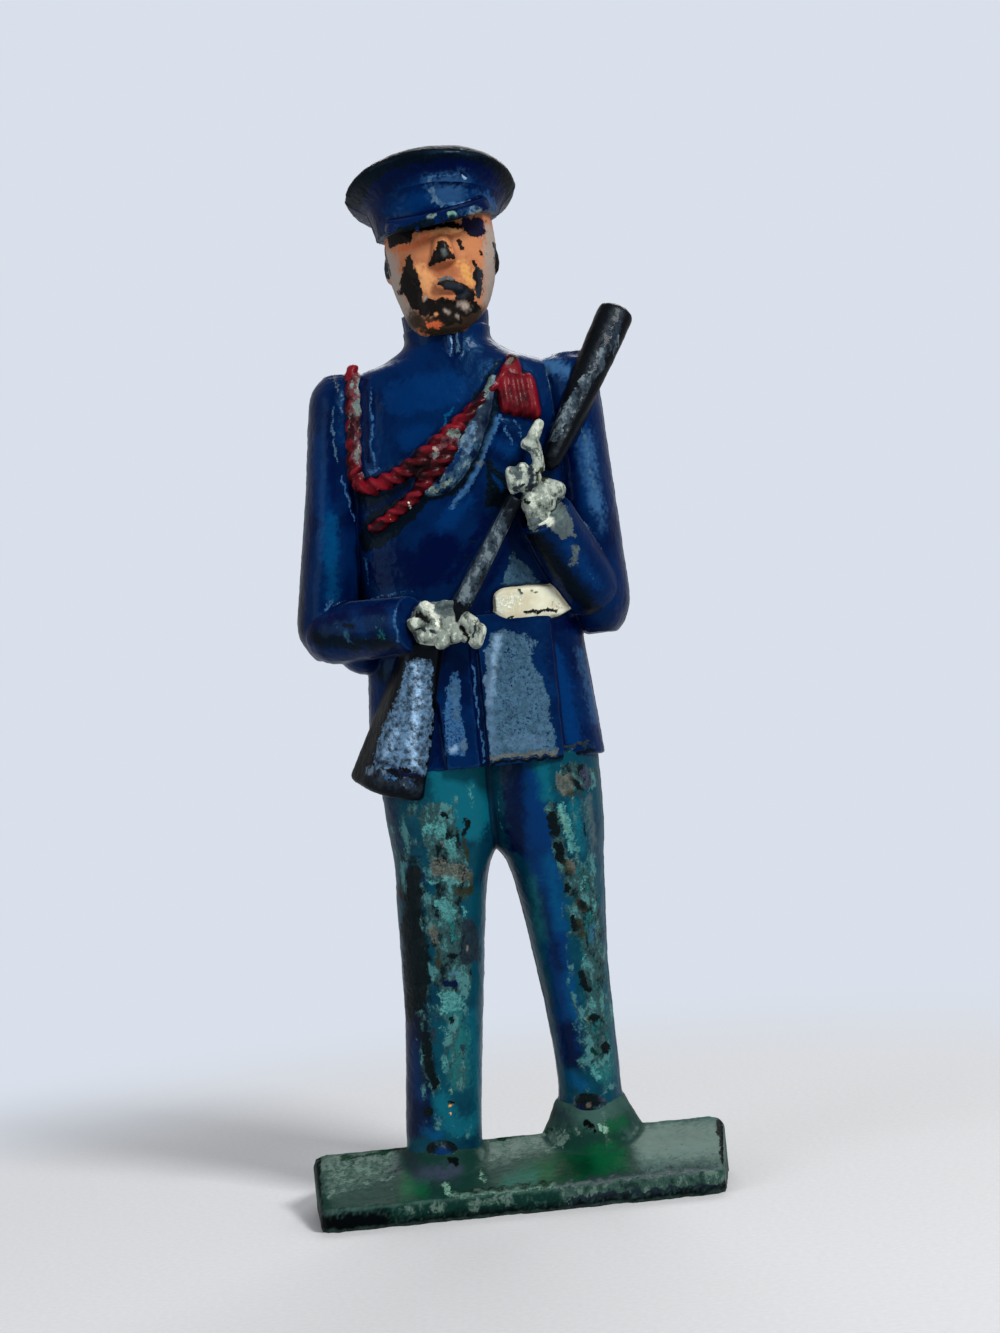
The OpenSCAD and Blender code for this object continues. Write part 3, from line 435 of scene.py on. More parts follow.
collar = {"power": 2.0, "seams": (0.82, 1.45), "seamSizes": ((0.3, 0.5), (0.24, 0.4)), "stations": [
    (0.75, 0, 60.5, 3.4, 3.1), (0.75, 0, 61.2, 3.1, 2.88), (0.75, 0, 62.2, 3.02, 2.8),
    (0.75, 0, 63.6, 3.1, 2.9)]}
belt = {"at": (0.55, 42.23), "half": (7.72, 4.0), "from": -80.5, "to": 190, "tall": 1.07, "thick": 0.5,
        "square": 5, "end": (0.35, 42), "notch": (-44, -28, 14, 0.35), "tip": (-20, -33, 22, 0.25)}


def bodyFront(x, z, power=2.3):
    # y of the tunic's front face
    rows = tunic["skirt"][:-1] + tunic["chest"]
    for low, high in zip(rows, rows[1:]):
        if low[2] <= z <= high[2]:
            t = (z - low[2]) / (high[2] - low[2])
            w, d, mid = mix(low[3], high[3], t), mix(low[4], high[4], t), mix(low[0], high[0], t)
            break
    share = min(0.985, abs(x - mid) / w)
    return -d * (1 - share ** power) ** (1 / power)


def panelForm(xTop0, xTop1, xLow0, xLow1):
    # a thin layer on the skirt's face, from the belt to the hem
    bm = bmesh.new()
    bmesh.ops.create_cube(bm, size=1)
    across = [e for e in bm.edges if abs(e.verts[0].co.x - e.verts[1].co.x) > 0.5]
    bmesh.ops.subdivide_edges(bm, edges=across, cuts=16, use_grid_fill=True)
    upEdges = [e for e in bm.edges if abs(e.verts[0].co.z - e.verts[1].co.z) > 0.5]
    bmesh.ops.subdivide_edges(bm, edges=upEdges, cuts=16, use_grid_fill=True)
    for v in bm.verts:
        across, up = v.co.x + 0.5, v.co.z + 0.5
        z = mix(*tunic["panelHeight"], up)
        x = mix(mix(xLow0, xLow1, across), mix(xTop0, xTop1, across), up)
        y = bodyFront(x, max(z, trousers["hem"])) + tunic["panelDepth"][v.co.y > 0]
        v.co = Vector((x, y, z))
    return bm


def beltForm(look):
    # a flat strip round the waist; its front starts square and draws to a point under the left forearm
    notchFrom, notchAt, notchReach, notchLeast = look["notch"]
    tipTo, tipAt, tipReach, tipDrop = look["tip"]
    endSize, endRise = look["end"]

    def place(turn, t):
        # the centre line runs from the front's left end round the back to the right side
        angle = mix(look["from"], look["to"], t)
        u, v = lobe(math.radians(angle), tunic["power"])
        w, d = look["half"]
        tall = look["tall"] * min(1, endSize + t * endRise) ** 0.5
        tip = max(0.0, 1 - abs(angle - tipAt) / tipReach) if angle < tipTo else 0
        if notchFrom < angle < notchAt:
            tall *= notchLeast + (1 - notchLeast) * min(1.0, abs(angle - notchAt) / notchReach)
        c, s = lobe(turn, look["square"])
        out = c * look["thick"]
        return look["at"][0] + u * (w + out), v * (d + out), look["at"][1] + s * tall - (tipDrop * tip)
    return tube(20, 150, place)


body = Casting("body", *grain["body"])
body.add("tunic_chest", upright(tunic["chest"], tunic["power"], 96, 90))
body.add("tunic_skirt", upright(tunic["skirt"], tunic["power"], 96, 40))
for name, edges in tunic["panels"].items():
    body.add(name, panelForm(*edges))
body.add("belt", beltForm(belt))
body.add("collar", upright(collar["stations"], collar["power"], 64, 20))
for x in collar["seams"]:
    body.add("collar", limb((x + 0.1, -2.74, 63.4), (x, -3.12, 59.9), *collar["seamSizes"]))

# sleeves, gloves and the web of metal at the left shoulder

sleeve = {"wide": 4.4, "deep": 6.2, "elbow": 39.6, "top": 59.9, "stations": [
    (0, 0.06, 0.5, 0.5), (0.04, 0.04, 0.78, 0.76), (0.12, 0, 0.98, 0.95), (0.3, 0.25, 1, 1),
    (0.55, 0.6, 0.98, 1), (0.78, 0.86, 0.96, 0.98), (0.9, 0.96, 0.9, 0.86), (0.96, 1.02, 0.74, 0.68),
    (1, 1.08, 0.42, 0.4)]}
arms = {"right": (-9.9, -7.55), "left": (9.75, 9.15)}
hands = {"rightElbow": (-11.0, -0.45, 41.3), "rightCuff": (-3.71, -5.1, 41.5),
         "leftElbow": (9.75, -0.78, 41.4), "leftCuff": (6.35, -5.1, 48.2),
         "elbow": (4.5, 4.5), "cuff": (3.9, 3.9), "elbowPoint": ((-7.6, -0.9, 39.6), (3.4, 4.0, 2.6), 20)}
web = [  # metal left between the rifle and the left shoulder
    ((8.1, -0.75, 57.65), (10.75, -1.9, 58.3), (4.3, 3.2), (2.2, 1.6)),
    ((7.2, -0.6, 58.3), (10.9, -0.9, 59.2), (2.6, 2.8), (1.8, 1.5)),
]


def sleeveForm(elbowX, shoulderX):
    rows = []
    for up, way, wide, deep in sleeve["stations"]:
        rows.append((mix(elbowX, shoulderX, way), 0, mix(sleeve["elbow"], sleeve["top"], up),
                     sleeve["wide"] * wide / 2, sleeve["deep"] * deep / 2))
    return upright(rows, 2.0, 56, 70)


for side, (elbow, shoulder) in arms.items():
    body.add(side + "_upper_sleeve", sleeveForm(elbow, shoulder))
for side in arms:
    ends = hands[side + "Elbow"], hands[side + "Cuff"]
    body.add(side + "_forearm", limb(*ends, hands["elbow"], hands["cuff"], roundFoot, 2.1))
for piece in web:
    body.add("left_upper_sleeve", limb(*piece))
body.add("right_forearm", ball(*hands["elbowPoint"]))

gloves = {
    "right_glove": [  # a closed fist: heel, back of the hand, knuckles, four fingers, thumb
        ((-3.6, -4.9, 41.4), (-0.4, -5.1, 41.3), (2.9, 2.3), (3.0, 2.4)),
        ((-3.0, -5.4, 41.6), (-0.4, -5.4, 41.2), (2.4, 2.0), (2.7, 2.1)),
        ((-3.5, -5.7, 41.9), (-3.2, -5.8, 41.0), (1.1, 1.2), (1.0, 1.1)),
        ((-2.9, -5.8, 42.9), (-2.0, -5.9, 41.2), (1.0, 1.1), (1.1, 1.1)),
        ((-1.8, -5.6, 42.4), (0.1, -5.7, 42.1), (1.2, 1.1), (1.0, 1.1)),
        ((-3.1, -5.8, 40.8), (-2.6, -5.9, 40.1), (1.0, 1.2), (0.9, 1.1)),
        ((-2.0, -5.9, 41.0), (-1.6, -6.0, 39.5), (1.1, 1.3), (1.05, 1.2)),
        ((-1.0, -6.0, 41.2), (-0.7, -6.0, 39.8), (1.05, 1.3), (1.0, 1.2)),
        ((-0.2, -5.9, 41.6), (0.8, -6.0, 40.8), (1.1, 1.3), (1.1, 1.2)),
        ((1.1, -5.8, 41.0), (0.5, -6.0, 39.3), (1.1, 1.4), (0.9, 1.2)),
        ((-0.2, -5.5, 40.6), (0.3, -5.5, 39.9), (1.2, 1.3), (0.9, 1.2)),
    ],
    "left_glove": [  # palm, lower palm, back of the hand, three fingers, thumb and its root, forefinger, cuff
        ((5.4, -5.1, 50.0), (8.0, -4.9, 49.7), (2.2, 2.0), (1.1, 1.3)),
        ((4.8, -5.3, 49.2), (7.2, -5.2, 48.9), (1.9, 1.9), (1.5, 1.6)),
        ((4.6, -5.4, 50.7), (6.2, -5.4, 50.9), (1.8, 1.8), (1.6, 1.6)),
        ((5.0, -5.3, 48.6), (6.6, -5.2, 48.3), (1.5, 1.5), (1.3, 1.4)),
        ((4.2, -5.6, 51.7), (4.5, -5.9, 49.8), (0.8, 1.1), (0.95, 1.1)),
        ((5.1, -5.8, 51.9), (5.1, -6.0, 49.8), (0.85, 1.1), (0.9, 1.1)),
        ((5.9, -5.7, 51.5), (5.8, -6.0, 49.9), (0.8, 1.1), (0.85, 1.1)),
        ((6.75, -5.1, 54.8), (5.9, -5.3, 53.3), (0.7, 0.9), (0.95, 1.1)),
        ((5.2, -5.1, 53.3), (6.2, -5.3, 53.0), (0.7, 0.9), (1.1, 1.1)),
        ((6.1, -5.3, 53.4), (6.35, -5.7, 51.0), (0.9, 1.0), (0.75, 0.9)),
        ((5.1, -5.3, 47.7), (6.6, -5.3, 48.0), (1.1, 1.2), (1.3, 1.4)),
    ],
}
for name, lobes in gloves.items():
    for finger in lobes:
        body.add(name, limb(*finger, roundBoth, 2.3))

# rifle

rifle = {
    "butt": ((-5.8, -2.08, 29.7), (-3.03, -4.08, 40.1), (3.8, 5.2), (2.6, 2.6)),
    "grip": ((-1.1, -5.1, 40.9), (4.43, -5.1, 49.5), (1.35, 2.4), (1.0, 2.2)),
    "barrel": ((6.9, -4.6, 51.4), (13.1, -0.29, 62.55), (1.4, 1.9), (2.7, 2.7)),
}
buttShares = [(0, 0.86), (0.02, 0.96), (0.06, 1), (0.3, 1), (0.5, 1), (1, 1)]
barrelShares = [(0, 0.45), (0.03, 0.75), (0.08, 0.95), (0.5, 1.08), (0.93, 1), (0.98, 0.88), (1, 0.68)]
body.add("rifle_butt", limb(*rifle["butt"], buttShares, 3.6, 2.7))
body.add("rifle_grip", limb(*rifle["grip"], plain, 3.6))
body.add("rifle_barrel", limb(*rifle["barrel"], barrelShares, 2.6))

# aiguillette: rope cords, a flat plait and the shoulder knot

cords = {
    "shoulder_cord": dict(beads=9, groove=0.5, wide=1.15, line=[
        (-6.2, 60.4), (-6.3, 58.8), (-6.4, 57.0), (-6.55, 55.0), (-6.7, 53.2), (-6.6, 52.0), (-6.2, 51.4)]),
    "chest_cord": dict(beads=13, groove=0.62, wide=None, line=[
        (-6.5, 51.5), (-5.4, 51.5), (-4.2, 51.8), (-3.2, 52.2), (-2.0, 52.9), (-0.6, 53.8), (0.4, 54.6),
        (1.3, 55.4), (2.6, 56.5), (3.6, 57.5), (4.5, 58.6), (5.3, 59.8)]),
    "lower_cord": dict(beads=5, groove=0.6, wide=1.0, line=[
        (-6.1, 48.4), (-5.0, 48.9), (-4.0, 49.5), (-3.1, 50.1), (-2.2, 50.8)]),
}
ridges = [  # low folds of cloth on the chest, with their width
    (0.5, [(0.2, 49.6), (1.3, 51.0), (2.3, 52.4), (3.1, 53.7), (3.9, 55.1)]),
    (0.3, [(-4.9, 59.2), (-5.1, 57.0), (-5.3, 54.6), (-5.5, 53.2)]),
]


def chestCordWidth(t):
    # thickest where it passes the middle of the chest, thin at the shoulder
    widths = [(1.2,), (1.3,), (1.3,), (1.35,), (1.5,), (1.5,), (1.3,), (1.0,), (0.75,), (0.6,), (0.6,)]
    return float(along(widths, t)[0])


def onChest(x, z, lift):
    return (x, bodyFront(x, min(z, 62.0)) - lift, z)


for name, look in cords.items():
    points = [onChest(x, z, 0.32) for x, z in look["line"]]
    body.add(name, rope(points, look["wide"] or chestCordWidth, look["beads"], look["groove"], 0.9))
# a second strand makes the broad part of the chest cord
strand = dict(beads=4, groove=0.6, wide=1.35, line=[
    (-2.3, 50.8), (-1.7, 51.5), (-0.9, 52.3), (-0.1, 53.1), (0.5, 53.8)])
points = [onChest(x, z, 0.3) for x, z in strand["line"]]
body.add("chest_cord", rope(points, strand["wide"], strand["beads"], strand["groove"], 0.9))
for wide, line in ridges:
    body.add("tunic_chest", rope([onChest(x, z, 0.0) for x, z in line], wide, 1, 0.0, 1.0))

plait = {"line": [(-1.8, 50.6), (-0.4, 51.0), (0.7, 52.2), (1.5, 53.6), (2.3, 55.2), (3.1, 56.8),
                  (3.8, 58.4)],
         "half": [(0.3,), (0.5,), (0.62,), (0.75,), (0.7,), (0.45,), (0.2,)], "chevrons": 11, "relief": 0.16}


def plaitForm(look):
    line = [np.array(p) for p in look["line"]]

    def place(turn, t):
        here = along(line, t)
        step = along(line, t + 0.02) - along(line, t - 0.02)
        out = np.array((-step[1], step[0])) / np.linalg.norm(step)
        half = float(along(look["half"], t)[0])
        c, s = lobe(turn, 2.4)
        x, z = here + out * half * c
        chevron = abs(math.sin(math.pi * (look["chevrons"] * t + abs(c) * 0.9)))
        weave = look["relief"] * chevron * max(s, 0)
        return onChest(x, z, 0.2 + s * (0.3 + weave))
    return tube(36, 60, place)


body.add("flat_plait", plaitForm(plait))
tassels = {"wide": 0.95, "top": 58.4, "lines": [(4.45, 55.6), (5.1, 55.35), (5.8, 55.2), (6.45, 55.0)],
           "loop": ((5.0, 58.2, 0.05), (5.15, 59.9, 0.05), (1.6, 0.9), (0.9, 0.8))}
for x, low in tassels["lines"]:
    foot, root = onChest(x, low, 0.1), onChest(x * 0.9 + 0.35, tassels["top"], 0.1)
    sizes = (tassels["wide"], 1.3), (tassels["wide"] * 0.9, 1.2)
    body.add("shoulder_knot", limb(foot, root, *sizes, roundBoth, 2.4))
foot, root, *sizes = tassels["loop"]
body.add("shoulder_knot", limb(onChest(*foot), onChest(*root), *sizes))
print("stage: body")

# head and cap

face = {
    "at": 0.9, "power": 2.15,
    "stations": [  # height, across, back, half width, half depth
        (61.7, -0.35, -2.3, 1.3, 0.9), (62.1, -0.32, -1.95, 2.0, 1.85), (63.1, -0.16, -1.1, 2.75, 2.8),
        (64.4, 0, -0.5, 3.25, 3.5), (66.1, 0, -0.25, 3.72, 4.0), (67.9, 0, 0, 3.95, 4.15),
        (70.4, 0, 0, 3.8, 4.0)],
    "features": [  # nose, brow, upper lip, lower lip
        ((1.1, -4.42, 66.35), (1.05, -4.05, 68.6), (2.0, 1.5), (0.9, 0.9)),
        ((-0.6, -4.0, 68.75), (2.7, -4.0, 68.85), (0.7, 0.8), (0.7, 0.8)),
        ((0.2, -4.02, 65.15), (2.4, -4.0, 64.75), (1.0, 0.95), (0.95, 0.9)),
        ((0.5, -3.72, 64.15), (2.0, -3.7, 64.0), (0.6, 0.8), (0.6, 0.8))],
    "knobs": [  # chin and ears
        ((0.75, -3.05, 62.85), (2.6, 1.7, 1.4), 0.0),
        ((-2.75, 0.1, 67.3), (0.9, 1.5, 2.4), 6), ((4.5, 0.1, 67.3), (0.9, 1.5, 2.4), -6)],
}
cap = {
    "at": {"band": 0.85, "rim": 0.5, "top": 1.6},
    "height": {"band": 69.75, "bandTop": 71.15, "rim": 72.15, "top": 74.35},
    "half": {"band": (4.45, 4.5), "bandTop": (4.95, 5.0), "rim": (6.1, 5.6)},
    "lean": {"band": 0.13, "front": 0.2, "crown": (0.02, 0.33)},
    "wall": [(0, 0), (0.5, 0.6), (0.92, 0.96)],
    "dome": [(0.06, 1), (0.2, 0.975), (0.42, 0.88), (0.64, 0.72), (0.84, 0.48), (0.95, 0.26), (1, 0.08)],
}
peak = {"from": (0.95, -3.6, 69.45), "tipAt": 0.9, "half": (3.85, 2.15), "thick": 0.75, "slope": (0.13, 0.33),
        "power": 2.6}


def crownForm(look):
    # rows of across, height, half width, half depth, lean across and lean to the front
    at, height, half, lean = look["at"], look["height"], look["half"], look["lean"]
    rows = []
    for up, out in look["wall"]:
        w, d = [mix(low, high, out) for low, high in zip(half["bandTop"], half["rim"])]
        rows.append((mix(at["band"], at["rim"], out), mix(height["bandTop"], height["rim"], up), w, d,
                     lean["crown"][0] * out, mix(lean["front"], lean["crown"][1], out)))
    for up, share in look["dome"]:
        rows.append((mix(at["rim"], at["top"], up), mix(height["rim"], height["top"], up),
                     half["rim"][0] * share, half["rim"][1] * share, *lean["crown"]))

    def place(turn, t):
        x, z, w, d, across, front = along(rows, t)
        u, v = math.cos(turn), math.sin(turn)
        return x + u * w, v * d, z - across * u * w - front * v * d
    return tube(80, 60, place)


def bandForm(look):
    x, low, high = look["at"]["band"], look["height"]["band"], look["height"]["bandTop"]

    def place(turn, t):
        u, v = math.cos(turn), math.sin(turn)
        w = mix(look["half"]["band"][0], look["half"]["bandTop"][0], t ** 1.4)
        d = mix(look["half"]["band"][1], look["half"]["bandTop"][1], t ** 1.4)
        z = mix(low, high, t) + look["lean"]["band"] * (1 - t) * u * w - look["lean"]["front"] * t * v * d
        return x + u * w, v * d, z
    return tube(80, 14, place)


def peakForm(look):
    # a short lip in front of the band that slopes down to its edge
    middle, back, low = look["from"]
    wide, deep = look["half"]
    across, front = look["slope"]

    def place(turn, t):
        u, v = lobe(turn, look["power"])
        x = mix(middle, look["tipAt"], t) + u * wide * (1 - 0.06 * t)
        y = back + v * deep * (1 - 0.1 * t)
        z = low + look["thick"] * t + across * u * wide + front * (y + 4.5)
        return x, y, z
    return tube(56, 6, place)


top = Casting("top", *grain["top"])
skull = [(face["at"] + x, y, z, w, d) for z, x, y, w, d in face["stations"]]
top.add("head", upright(skull, face["power"], 72, 60))
for feature in face["features"]:
    top.add("head", limb(*feature))
for knob in face["knobs"]:
    top.add("head", ball(*knob))
top.add("cap_band", bandForm(cap))
top.add("cap_crown", crownForm(cap))
top.add("cap_peak", peakForm(peak))
print("stage: head and cap")

# casting: melt, round, roughen and part


def spread(values, edges, rounds):
    # averages a value at each point with those of its neighbours
    a, b = edges.T
    n = len(values)
    if values.ndim == 2:
        return np.stack([spread(values[:, k], edges, rounds) for k in range(values.shape[1])], 1)
    count = np.maximum(np.bincount(a, minlength=n) + np.bincount(b, minlength=n), 1)
    for _ in range(rounds):
        total = np.bincount(a, values[b], n) + np.bincount(b, values[a], n)
        values = (values + total / count) / 2
    return values


def smoothStep(v, low, high):
    t = np.clip((v - low) / (high - low), 0, 1)
    return t * t * (3 - 2 * t)


def readPoints(mesh):
    co = np.empty(len(mesh.vertices) * 3)
    mesh.vertices.foreach_get("co", co)
    normal = np.empty(len(mesh.vertices) * 3)
    mesh.vertex_normals.foreach_get("vector", normal)
    return co.reshape(-1, 3), normal.reshape(-1, 3)


def writePoints(mesh, co):
    mesh.vertices.foreach_set("co", co.ravel())
    mesh.update()


def addLayer(mesh, name, values):
    # an attribute on the points: a number, or a colour with its strength
    kind, field = ("FLOAT", "value") if values.ndim == 1 else ("FLOAT_COLOR", "color")
    mesh.attributes.new(name, kind, "POINT").data.foreach_set(field, values.astype(np.float32).ravel())


def applyModifiers(obj):
    mesh = bpy.data.meshes.new_from_object(obj.evaluated_get(bpy.context.evaluated_depsgraph_get()))
    obj.modifiers.clear()
    obj.data = mesh
    return mesh


def neighbours(mesh):
    # pairs of faces that share an edge, and that edge
    loopEdge = np.empty(len(mesh.loops), int)
    mesh.loops.foreach_get("edge_index", loopEdge)
    sizes = np.empty(len(mesh.polygons), int)
    mesh.polygons.foreach_get("loop_total", sizes)
    owner = np.repeat(np.arange(len(sizes)), sizes)
    order = np.argsort(loopEdge, kind="stable")
    same = loopEdge[order][1:] == loopEdge[order][:-1]
    return owner[order][:-1][same], owner[order][1:][same], loopEdge[order][1:][same]


def settle(labels, a, b, count, rounds):
    # each face takes the piece that most of its neighbours have
    for _ in range(rounds):
        votes = np.zeros((len(labels), count), np.float32)
        np.add.at(votes, (a, labels[b]), 1)
        np.add.at(votes, (b, labels[a]), 1)
        votes[np.arange(len(labels)), labels] += castLook["ownVote"]
        labels = votes.argmax(1)
    return labels


def clearSpecks(labels, a, b, count, least):
    # islands of fewer faces than least go to what is round them
    parent = np.arange(len(labels))
    same = labels[a] == labels[b]
    pa, pb = a[same], b[same]
    while True:
        low = np.minimum(parent[pa], parent[pb])
        before = parent.copy()
        np.minimum.at(parent, pa, low)
        np.minimum.at(parent, pb, low)
        parent = parent[parent]
        parent = parent[parent]
        if np.array_equal(parent, before):
            break
    sizes = np.bincount(parent, minlength=len(labels))[parent]
    small = sizes < least
    for _ in range(30):
        if not small.any():
            break
        votes = np.zeros((len(labels), count), np.float32)
        good = ~small
        np.add.at(votes, (a[good[b]], labels[b[good[b]]]), 1)
        np.add.at(votes, (b[good[a]], labels[a[good[a]]]), 1)
        ready = small & (votes.sum(1) > 0)
        labels = np.where(ready, votes.argmax(1), labels)
        small = small & ~ready
    return labels


castLook = {
    "pool": 0.55, "flash": 0.07, "flashWidth": 0.13, "ownVote": 1.5, "leastFaces": 60,
    "lumps": [(0.9, 0.035), (3.1, 0.022)],  # to a millimetre, and how high
    "drip": [(0.55, 3.3, 1), (1.9, 1.0, 0.6)], "ragged": (0.12, 0.35, 0.5),
    "stages": (10, 14, 2),  # rounds that even out the skin: for the creases, the relief and its own grain
}
halfBox = (Vector(cadBox[1]) - Vector(cadBox[0])) * 500  # half of the box, in millimetres


def melt(casting):
    # one skin over all the forms of a casting
    mesh = bpy.data.meshes.new(casting.name)
    casting.bm.to_mesh(mesh)
    casting.bm.free()
    obj = bpy.data.objects.new(casting.name, mesh)
    bpy.context.collection.objects.link(obj)
    voxels = obj.modifiers.new("melt", "REMESH")
    voxels.mode = "VOXEL"
    voxels.voxel_size = casting.grain
    voxels.use_smooth_shade = True
    smooth = obj.modifiers.new("smooth", "SMOOTH")
    smooth.factor = 0.5
    smooth.iterations = casting.soften
    applyModifiers(obj)
    return obj


def proud(skin, edges, rounds):
    # the points, their normals, the points evened out, and how far each stands out of that
    co, normal = readPoints(skin)
    soft = spread(co, edges, rounds)
    return co, normal, soft, ((co - soft) * normal).sum(1)


def noiseAt(co, rows):
    # sum of noises, each with its size and height
    return np.array([sum(noise.noise(Vector(p) * size) * high for size, high in rows) for p in co])


def roughen(skin, edges, standing):
    # paint pools in the creases; the mould leaves flash, lumps, and a ragged lower edge on the stand
    forCreases, forRelief, forGrain = castLook["stages"]
    co, normal, soft, relief = proud(skin, edges, forCreases)
    pool = smoothStep(-relief, 0.01, 0.08)[:, None]
    writePoints(skin, mix(co, soft, pool * castLook["pool"]))
    co, normal, soft, relief = proud(skin, edges, forRelief)
    relief = spread(relief, edges, forGrain)
    # flash of the two-part mould where the skin faces sideways at y = 0
    sideways = smoothStep(1 - np.abs(normal[:, 1]), 0.55, 0.95)
    push = castLook["flash"] * np.exp(-(co[:, 1] / castLook["flashWidth"]) ** 2) * sideways
    co = co + normal * (push + noiseAt(co, castLook["lumps"]))[:, None]
    if standing:
        drip = np.zeros(len(co))
        for size, shift, high in castLook["drip"]:
            drip += [high * noise.noise(Vector((p[0] * size, p[1] * size, shift))) for p in co]
        rim = smoothStep(-co[:, 2], -0.9, -0.15) * smoothStep(np.abs(co[:, 1]), 6.6, 7.3)
        least, reach, most = castLook["ragged"]
        co[:, 1] -= np.sign(co[:, 1]) * rim * np.clip(least + drip * reach, 0, most)
        co[:, 2] = np.where(co[:, 2] < 0.06, 0.0, co[:, 2])
    x, y, z = halfBox
    writePoints(skin, np.clip(co, (-x, -y, 0), (x, y, z * 2)))
    return relief


def labelFaces(skin, edges, tree, kinds, count):
    # each face belongs to the form that it lies on, and the paint lines are drawn smooth
    centres = np.empty(len(skin.polygons) * 3)
    skin.polygons.foreach_get("center", centres)
    labels = np.array([kinds[tree.find_nearest(Vector(c))[2]] for c in centres.reshape(-1, 3)])
    a, b, shared = neighbours(skin)
    labels = settle(labels, a, b, count, 5)
    labels = clearSpecks(labels, a, b, count, castLook["leastFaces"])
    line = edges[shared[labels[a] != labels[b]]]
    co = readPoints(skin)[0]
    onLine = np.zeros(len(co), bool)
    onLine[line.ravel()] = True
    co[onLine] = spread(co, line, 8)[onLine]
    writePoints(skin, co)
    return labels


def partSkin(obj, names, labels):
    # cut the skin along the paint lines
    skin = obj.data
    for name in names:
        skin.materials.append(bpy.data.materials.new("mark_" + name))
    skin.polygons.foreach_set("material_index", labels.astype(np.int32))
    skin.update()
    bpy.ops.object.select_all(action="DESELECT")
    bpy.context.view_layer.objects.active = obj
    obj.select_set(True)
    bpy.ops.object.mode_set(mode="EDIT")
    bpy.ops.mesh.select_all(action="SELECT")
    bpy.ops.mesh.separate(type="MATERIAL")
    bpy.ops.object.mode_set(mode="OBJECT")
    parts = {}
    for part in bpy.context.selected_objects:
        used = np.empty(len(part.data.polygons), np.int32)
        part.data.polygons.foreach_get("material_index", used)
        parts[part.data.materials[int(used[0])].name.replace("mark_", "")] = part
    return parts


def pour(casting):
    # a casting's pieces, each with its ridges and creases noted
    tree = BVHTree.FromBMesh(casting.bm)
    kinds = [f.material_index for f in casting.bm.faces]
    obj = melt(casting)
    skin = obj.data
    edges = np.empty(len(skin.edges) * 2, int)
    skin.edges.foreach_get("vertices", edges)
    edges = edges.reshape(-1, 2)
    relief = roughen(skin, edges, casting.name == "lower")
    labels = labelFaces(skin, edges, tree, kinds, len(casting.names))
    addLayer(skin, "ridge", smoothStep(relief, 0.012, 0.075))
    addLayer(skin, "crease", smoothStep(-relief, 0.008, 0.06))
    print("stage: poured", casting.name, len(skin.polygons), "faces")
    return partSkin(obj, casting.names, labels)


parts = {}
for casting in (lower, body, top):
    parts.update(pour(casting))
print("stage: parted into", len(parts), "pieces")

# paint, wear, painted highlights and painted shade on the front, laid one over the other

pots = {  # screen colours, 0 to 255
    "black": (2, 3, 6), "iron": (78, 82, 76), "dust": (96, 114, 108), "slate": (26, 36, 46),
    # the pale blue-white pot in this row paints highlights
    "silver": (70, 96, 120), "bright": (128, 158, 186), "steel": (56, 84, 104), "sea": (66, 124, 124),
    "teal": (6, 82, 98), "fern": (26, 92, 94), "navy": (0, 3, 42), "blue": (0, 38, 86),
    "mist": (46, 84, 124), "grass": (0, 62, 34), "leaf": (6, 70, 42), "pine": (0, 36, 22),
    "moss": (12, 42, 36), "mint": (100, 138, 122), "sand": (146, 132, 122), "rust": (178, 84, 48),
    "gold": (206, 152, 86), "peach": (212, 150, 98), "white": (206, 212, 198), "wine": (34, 8, 18),
    "olive": (38, 40, 26), "plum": (48, 54, 72), "clay": (84, 86, 78), "lake": (0, 64, 104),
    "ash": (74, 86, 88), "umber": (40, 28, 20),
}
